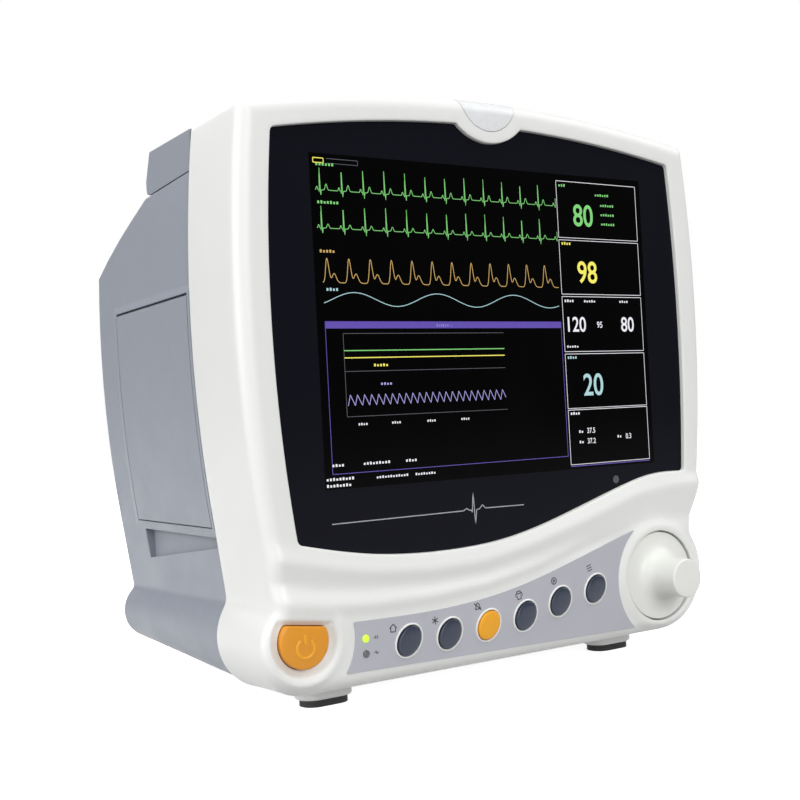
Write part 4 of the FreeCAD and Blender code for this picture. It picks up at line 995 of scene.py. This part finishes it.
class Screen:
    """Lit shapes of one colour on the display, in mm from the middle of the screen."""

    def __init__(self, name, color, strength=1.0):
        self.build = Build()
        self.name = "screen_" + name
        self.material = screen_light(self.name + "_light", color, strength)

    def line(self, points, width=0.45):
        shifted = [(x, z + SCREEN_Z) for x, z in points]
        stroke(self.build, shifted, width, SCREEN_Y - 0.06, 0.02)

    def box(self, x0, z0, x1, z1, width=0.4):
        corners = [(x0, z0), (x1, z0), (x1, z1), (x0, z1), (x0, z0)]
        for a, b in zip(corners, corners[1:]):
            self.line([a, b], width)

    def fill(self, x0, z0, x1, z1):
        middle = (z0 + z1) / 2
        self.line([(x0, middle), (x1, middle)], abs(z1 - z0))

    def ticks(self, *rows):
        """Rows of small marks where captions would stand: x, z, count, size, gap."""
        for x, z, count, *look in rows:
            size, gap = look + [1.7, 2.0][len(look):]
            for i in range(count):
                tall = size * (0.75 + 0.25 * ((i * 7 + count) % 3) / 2)
                self.fill(x + i * gap, z, x + i * gap + gap * 0.6, z + tall)

    def number(self, text, x, z, tall):
        """Digits from the built-in typeface, centred on x and standing on z."""
        curve = bpy.data.curves.new("digits", "FONT")
        curve.body = text
        curve.offset = 0.012
        obj = placed("digits", curve)
        shown = obj.evaluated_get(bpy.context.evaluated_depsgraph_get())
        mesh = bpy.data.meshes.new_from_object(shown)
        flat = np.array([(v.co.x, v.co.y) for v in mesh.vertices])
        low, high = flat.min(0), flat.max(0)
        size = tall / (high[1] - low[1])
        across = (flat[:, 0] - (high[0] + low[0]) / 2) * size * 0.88 + x
        flat = np.c_[across, (flat[:, 1] - low[1]) * size + z + SCREEN_Z]
        self.build.add(at_depth(flat, SCREEN_Y - 0.06), [tuple(p.vertices) for p in mesh.polygons])
        bpy.data.objects.remove(obj)

    def done(self):
        self.build.piece(self.name, self.material, smooth=False)


def wave(x0, x1, spacing, period, shape, base, height, phase=0.0):
    """Trace as (x, z) points; shape gives the height over one period."""
    return [(x, base + height * shape(((x - x0) / period + phase) % 1.0))
            for x in np.arange(x0, x1, spacing)]


def bumps(t, *shapes):
    return sum(height * math.exp(-((t - middle) / width) ** 2) for height, middle, width in shapes)


def heart(t):
    """One beat of an electrocardiogram."""
    return bumps(t, (0.14, 0.18, 0.035), (-0.12, 0.285, 0.012), (1.0, 0.315, 0.014),
                 (-0.26, 0.35, 0.014), (0.26, 0.6, 0.06))


def heart_two(t):
    """The second lead has a lower last wave."""
    return heart(t) - bumps(t, (0.08, 0.6, 0.06))


def pulse(t):
    return bumps(t, (1.0, 0.22, 0.1), (0.38, 0.52, 0.13))


def breath(t):
    return 0.5 * math.sin(2 * math.pi * t)


def saw(t):
    return t / 0.35 if t < 0.35 else (1 - t) / 0.65


def display():
    """Generic bedside picture: four traces, a column of numbers, a trend window."""
    panel = Build()
    half_w, half_h = SCREEN_W / 2, SCREEN_H / 2
    rim = np.array([(-half_w, -half_h), (half_w, -half_h), (half_w, half_h), (-half_w, half_h)])
    panel.fan(at_depth(rim + (0.0, SCREEN_Z), SCREEN_Y))
    panel.piece("display_area", DISPLAY_BLACK, smooth=False)

    green = Screen("green", srgb(120, 200, 112))
    green.line(wave(-120, 51, 0.18, 14.0, heart, 72.0, 13.0, 0.1), 0.4)
    green.line(wave(-120, 51, 0.18, 14.0, heart_two, 51.0, 13.0, 0.1), 0.4)
    green.number("80", 73, 60.0, 14.0)
    green.line([(-107, -16.5), (4.5, -16.5)], 0.55)
    green.ticks((-119, 85.5, 6), (-119, 64.5, 7), (54, 84.5, 3), (84, 80.0, 6, 1.5),
                (88, 73.5, 6, 1.5), (88, 67.5, 6, 1.5), (88, 61.5, 6, 1.5))
    green.done()

    yellow = Screen("yellow", srgb(236, 226, 96))
    yellow.number("98", 74, 24.0, 14.0)
    yellow.line([(-107, -20.5), (4.5, -20.5)], 0.55)
    yellow.box(-120.5, 87.0, -114.0, 89.6, 0.5)
    yellow.ticks((54, 48.0, 4), (-88, -25.5, 5, 1.5))
    yellow.done()

    tan = Screen("tan", srgb(196, 160, 92))
    tan.line(wave(-118, 50, 0.3, 14.0, pulse, 21.0, 13.5), 0.42)
    tan.ticks((-119, 37.5, 5))
    tan.done()

    cyan = Screen("cyan", srgb(170, 210, 214), 0.9)
    cyan.line(wave(-118, 50, 0.8, 56.0, breath, 12.0, 7.5, -0.1), 0.42)
    cyan.number("20", 74, -47.0, 14.0)
    cyan.ticks((-116, 16.5, 4), (54, -23.5, 4))
    cyan.done()

    white = Screen("white", srgb(226, 226, 232))
    for top, bottom in ((88.0, 52.5), (51.0, 17.0), (15.5, -19.0), (-20.5, -54.5), (-55.5, -89.5)):
        white.box(52.0, bottom, 119.0, top, 0.35)
    for text, x, z, tall in (("120", 63.0, -6.7, 9.5), ("95", 82.0, -4.2, 4.0),
                             ("80", 106.0, -6.7, 9.5), ("37.5", 70.0, -70.5, 3.4),
                             ("37.2", 70.0, -77.0, 3.4), ("0.3", 101.5, -75.5, 3.4)):
        white.number(text, x, z, tall)
    white.ticks((54, 12.0, 4), (70, 12.0, 5, 1.4), (100, 12.0, 4, 1.4), (54, -16.5, 5, 1.3),
                (54, -58.5, 4), (60, -70.0, 2, 1.6), (60, -76.5, 2, 1.6), (92, -74.5, 2, 1.6),
                (-118, -80.0, 4, 1.5), (-98, -80.0, 9, 1.5), (-70, -80.0, 4, 1.5),
                (-122, -87.5, 9, 1.6), (-122, -91.0, 8, 1.6), (-90, -88.0, 12, 1.3, 1.8),
                (-64, -88.0, 8, 1.3, 1.8))
    white.ticks(*((x, -58.0, 4, 1.3, 1.6) for x in (-100, -78, -54, -30)))
    white.done()

    violet = Screen("violet", srgb(86, 66, 160))
    violet.fill(-118.0, -4.2, 50.0, -0.4)
    violet.box(-118.0, -84.0, 50.0, -0.4, 0.35)
    violet.line([(52.0, -90.5), (119.0, -90.5)], 0.5)
    violet.done()

    lilac = Screen("lilac", srgb(168, 160, 224), 0.9)
    lilac.line(wave(-106, 4, 0.2, 4.6, saw, -47.0, 6.0), 0.4)
    lilac.ticks((-84, -36.0, 4, 1.4), (-44, -3.2, 8, 1.5, 1.5))
    lilac.done()

    dim = Screen("dim", srgb(92, 96, 104), 0.7)
    for z in (-7.0, -28.0, -53.0):
        dim.line([(-107, z), (4.5, z)], 0.28)
    dim.line([(-107, -53.0), (-107, -7.0)], 0.28)
    for z in (87.0, 89.6):
        dim.line([(-112.0, z), (-92.0, z)], 0.3)
    dim.line([(-92.0, 87.0), (-92.0, 89.6)], 0.3)
    dim.done()


def window_print():
    """Silver line with one heart beat under the screen, and the light sensor."""
    build = Build()
    points = [(-120.0, 105.0), (-32.0, 105.0), (-29.5, 106.2), (-27.5, 105.0), (-26.2, 105.0),
              (-25.6, 103.6), (-24.4, 115.5), (-23.6, 96.5), (-22.4, 105.0), (-20.5, 105.2),
              (-18.0, 107.4), (-15.8, 105.4), (13.0, 105.0)]
    stroke(build, densified(points, 8), 0.55, LENS_FRONT - 0.06, 0.04)
    build.piece("window_line", printed_film("silver_ink", srgb(168, 172, 180)), smooth=False)
    sensor = Build()
    centre = (88.7, SCREEN_Z - 101.0)
    sensor.fan(at_depth(circle(centre, 2.5, 32), LENS_FRONT - 0.05))
    sensor.piece("light_sensor_spot", printed_film("sensor_tint", srgb(62, 62, 68)), smooth=False)


# ---- Pieces that keep the CAD shape ----
def dress(node, material):
    """Gives a CAD node its material."""
    for slot in NODES[node].material_slots:
        slot.material = material


def dress_all():
    """A material for every node that shows its own shape."""
    plain = {
        STEEL: "encoder_shaft display_screws handle_pins door_hinge_pin cuff_port housing_screws",
        SHEET: "encoder_body display_bracket recorder_motor network_port chassis power_supply",
        BRASS: "encoder_nut motor_pinion ground_stud mount_inserts",
        BOARD: "alarm_lamp_board keypad_board display_driver_board main_board parameter_board",
        BLACK: "encoder_plunger keypad_switches lcd_panel recorder_frame print_head "
               "temperature_sockets mains_inlet fuse_holders cuff_pump speaker",
        RUBBER: "rubber_feet platen_roller",
        PAPER: "paper_roll rear_label",
        WHITE_CAD: "platen_gear connector_panel",
        GREY: "rear_housing carry_handle recorder_door battery_cover",
        LENS_GLASS: "display_lens",
    }
    for material, names in plain.items():
        for name in names.split():
            dress(name, material)
    dress("ecg_socket", moulded("green_socket", (0.03, 0.22, 0.09, 1.0), edge=0.0003))
    dress("spo2_socket", moulded("blue_socket", (0.02, 0.09, 0.36, 1.0), edge=0.0003))
    dress("battery_pack", moulded("battery_wrap", (0.03, 0.06, 0.18, 1.0)))


# ---- Stage ----
YAW, PITCH, ROLL = 32.89, -1.05, -3.0      # degrees; pitch below zero looks up
CAMERA_FROM_SCREEN = (-443.1, -574.0, -57.4)
LENS_MM = 54.34
LIGHT_AIM = Vector((0.0, 0.0, 0.17))       # metres, the middle of the object
LIGHT_REACH = 2.4
# name, azimuth, elevation, side in m, power in W
LIGHTS = [("front", 12, 18, 1.1, 26.5), ("left", 90, 15, 1.2, 31.5), ("top", 10, 80, 1.8, 22),
          ("right", -70, 35, 1.4, 14), ("back", 190, 40, 1.6, 20)]
AMBIENT = (0.26, 0.39)                     # world strength below and above
FLOOR_GLOW = 0.75                          # light the floor gives off by itself


def camera():
    """Seen from the object's left and a little below, rolled by a few degrees."""
    yaw, pitch, roll = (math.radians(v) for v in (YAW, PITCH, ROLL))
    level = math.cos(pitch)
    forward = Vector((math.sin(yaw) * level, math.cos(yaw) * level, -math.sin(pitch)))
    right = Vector((math.cos(yaw), -math.sin(yaw), 0.0))
    up = right.cross(forward)
    rolled_right = math.cos(roll) * right + math.sin(roll) * up
    rolled_up = -math.sin(roll) * right + math.cos(roll) * up
    turn = Matrix((rolled_right, rolled_up, -forward)).transposed().to_4x4()
    x, y, z = CAMERA_FROM_SCREEN
    data = bpy.data.cameras.new("camera")
    data.lens = LENS_MM
    data.sensor_width = 36.0
    data.clip_start = 0.01
    obj = placed("camera", data)
    obj.matrix_world = Matrix.Translation(Vector((x, y + LENS_FRONT, z + SCREEN_Z)) * MM) @ turn
    bpy.context.scene.camera = obj


def soft_light(name, azimuth, elevation, size, power):
    """Square area light that looks at the object; azimuth 0 is straight in
    front and grows towards the viewer's left."""
    turn, lift = math.radians(azimuth), math.radians(elevation)
    level = math.cos(lift)
    away = Vector((-math.sin(turn) * level, -math.cos(turn) * level, math.sin(lift)))
    data = bpy.data.lights.new(name, "AREA")
    data.size = size
    data.energy = power
    obj = placed(name, data)
    obj.location = LIGHT_AIM + away * LIGHT_REACH
    obj.rotation_euler = (-away).to_track_quat("-Z", "Y").to_euler()


def floor():
    """Pale sheet that glows a little, so that it meets the white surround."""
    mesh = bpy.data.meshes.new("floor")
    mesh.from_pydata([(-6, -6, 0), (6, -6, 0), (6, 6, 0), (-6, 6, 0)], [], [(0, 1, 2, 3)])
    m = Nodes("floor_paper")
    m.set(Base_Color=(0.92, 0.92, 0.92, 1.0), Roughness=0.9, Specular_IOR_Level=0.1,
          Emission_Color=(1.0, 1.0, 1.0, 1.0), Emission_Strength=FLOOR_GLOW)
    mesh.materials.append(m.material)
    obj = placed("floor", mesh)
    obj.visible_diffuse = False


def surround():
    """Soft light from all round, stronger from above, seen as plain white."""
    world = bpy.data.worlds.new("studio")
    world.use_nodes = True
    nodes = world.node_tree.nodes
    soft = nodes["Background"]
    seen, where, split, height, path, mix = (nodes.new("ShaderNode" + kind) for kind in (
        "Background", "TexCoord", "SeparateXYZ", "MapRange", "LightPath", "MixShader"))
    for background in (soft, seen):
        background.inputs["Color"].default_value = (1.0, 1.0, 1.0, 1.0)
    low, high = AMBIENT
    for key, value in (("From Min", -0.15), ("From Max", 0.35), ("To Min", low), ("To Max", high)):
        height.inputs[key].default_value = value
    for source, target in ((where.outputs["Generated"], split.inputs[0]),
                           (split.outputs["Z"], height.inputs["Value"]),
                           (height.outputs["Result"], soft.inputs["Strength"]),
                           (path.outputs["Is Camera Ray"], mix.inputs[0]),
                           (soft.outputs[0], mix.inputs[1]),
                           (seen.outputs[0], mix.inputs[2]),
                           (mix.outputs[0], nodes["World Output"].inputs[0])):
        world.node_tree.links.new(source, target)
    bpy.context.scene.world = world


def stage():
    floor()
    surround()
    for name, azimuth, elevation, size, power in LIGHTS:
        soft_light(name, azimuth, elevation, size, power)
    bpy.context.scene.view_settings.view_transform = "Standard"


bezel()
alarm_lamp()
keys()
key_collars()
power_button()
menu_knob()
status_lamps()
label()
icons()
display()
window_print()
dress_all()
stage()
camera()
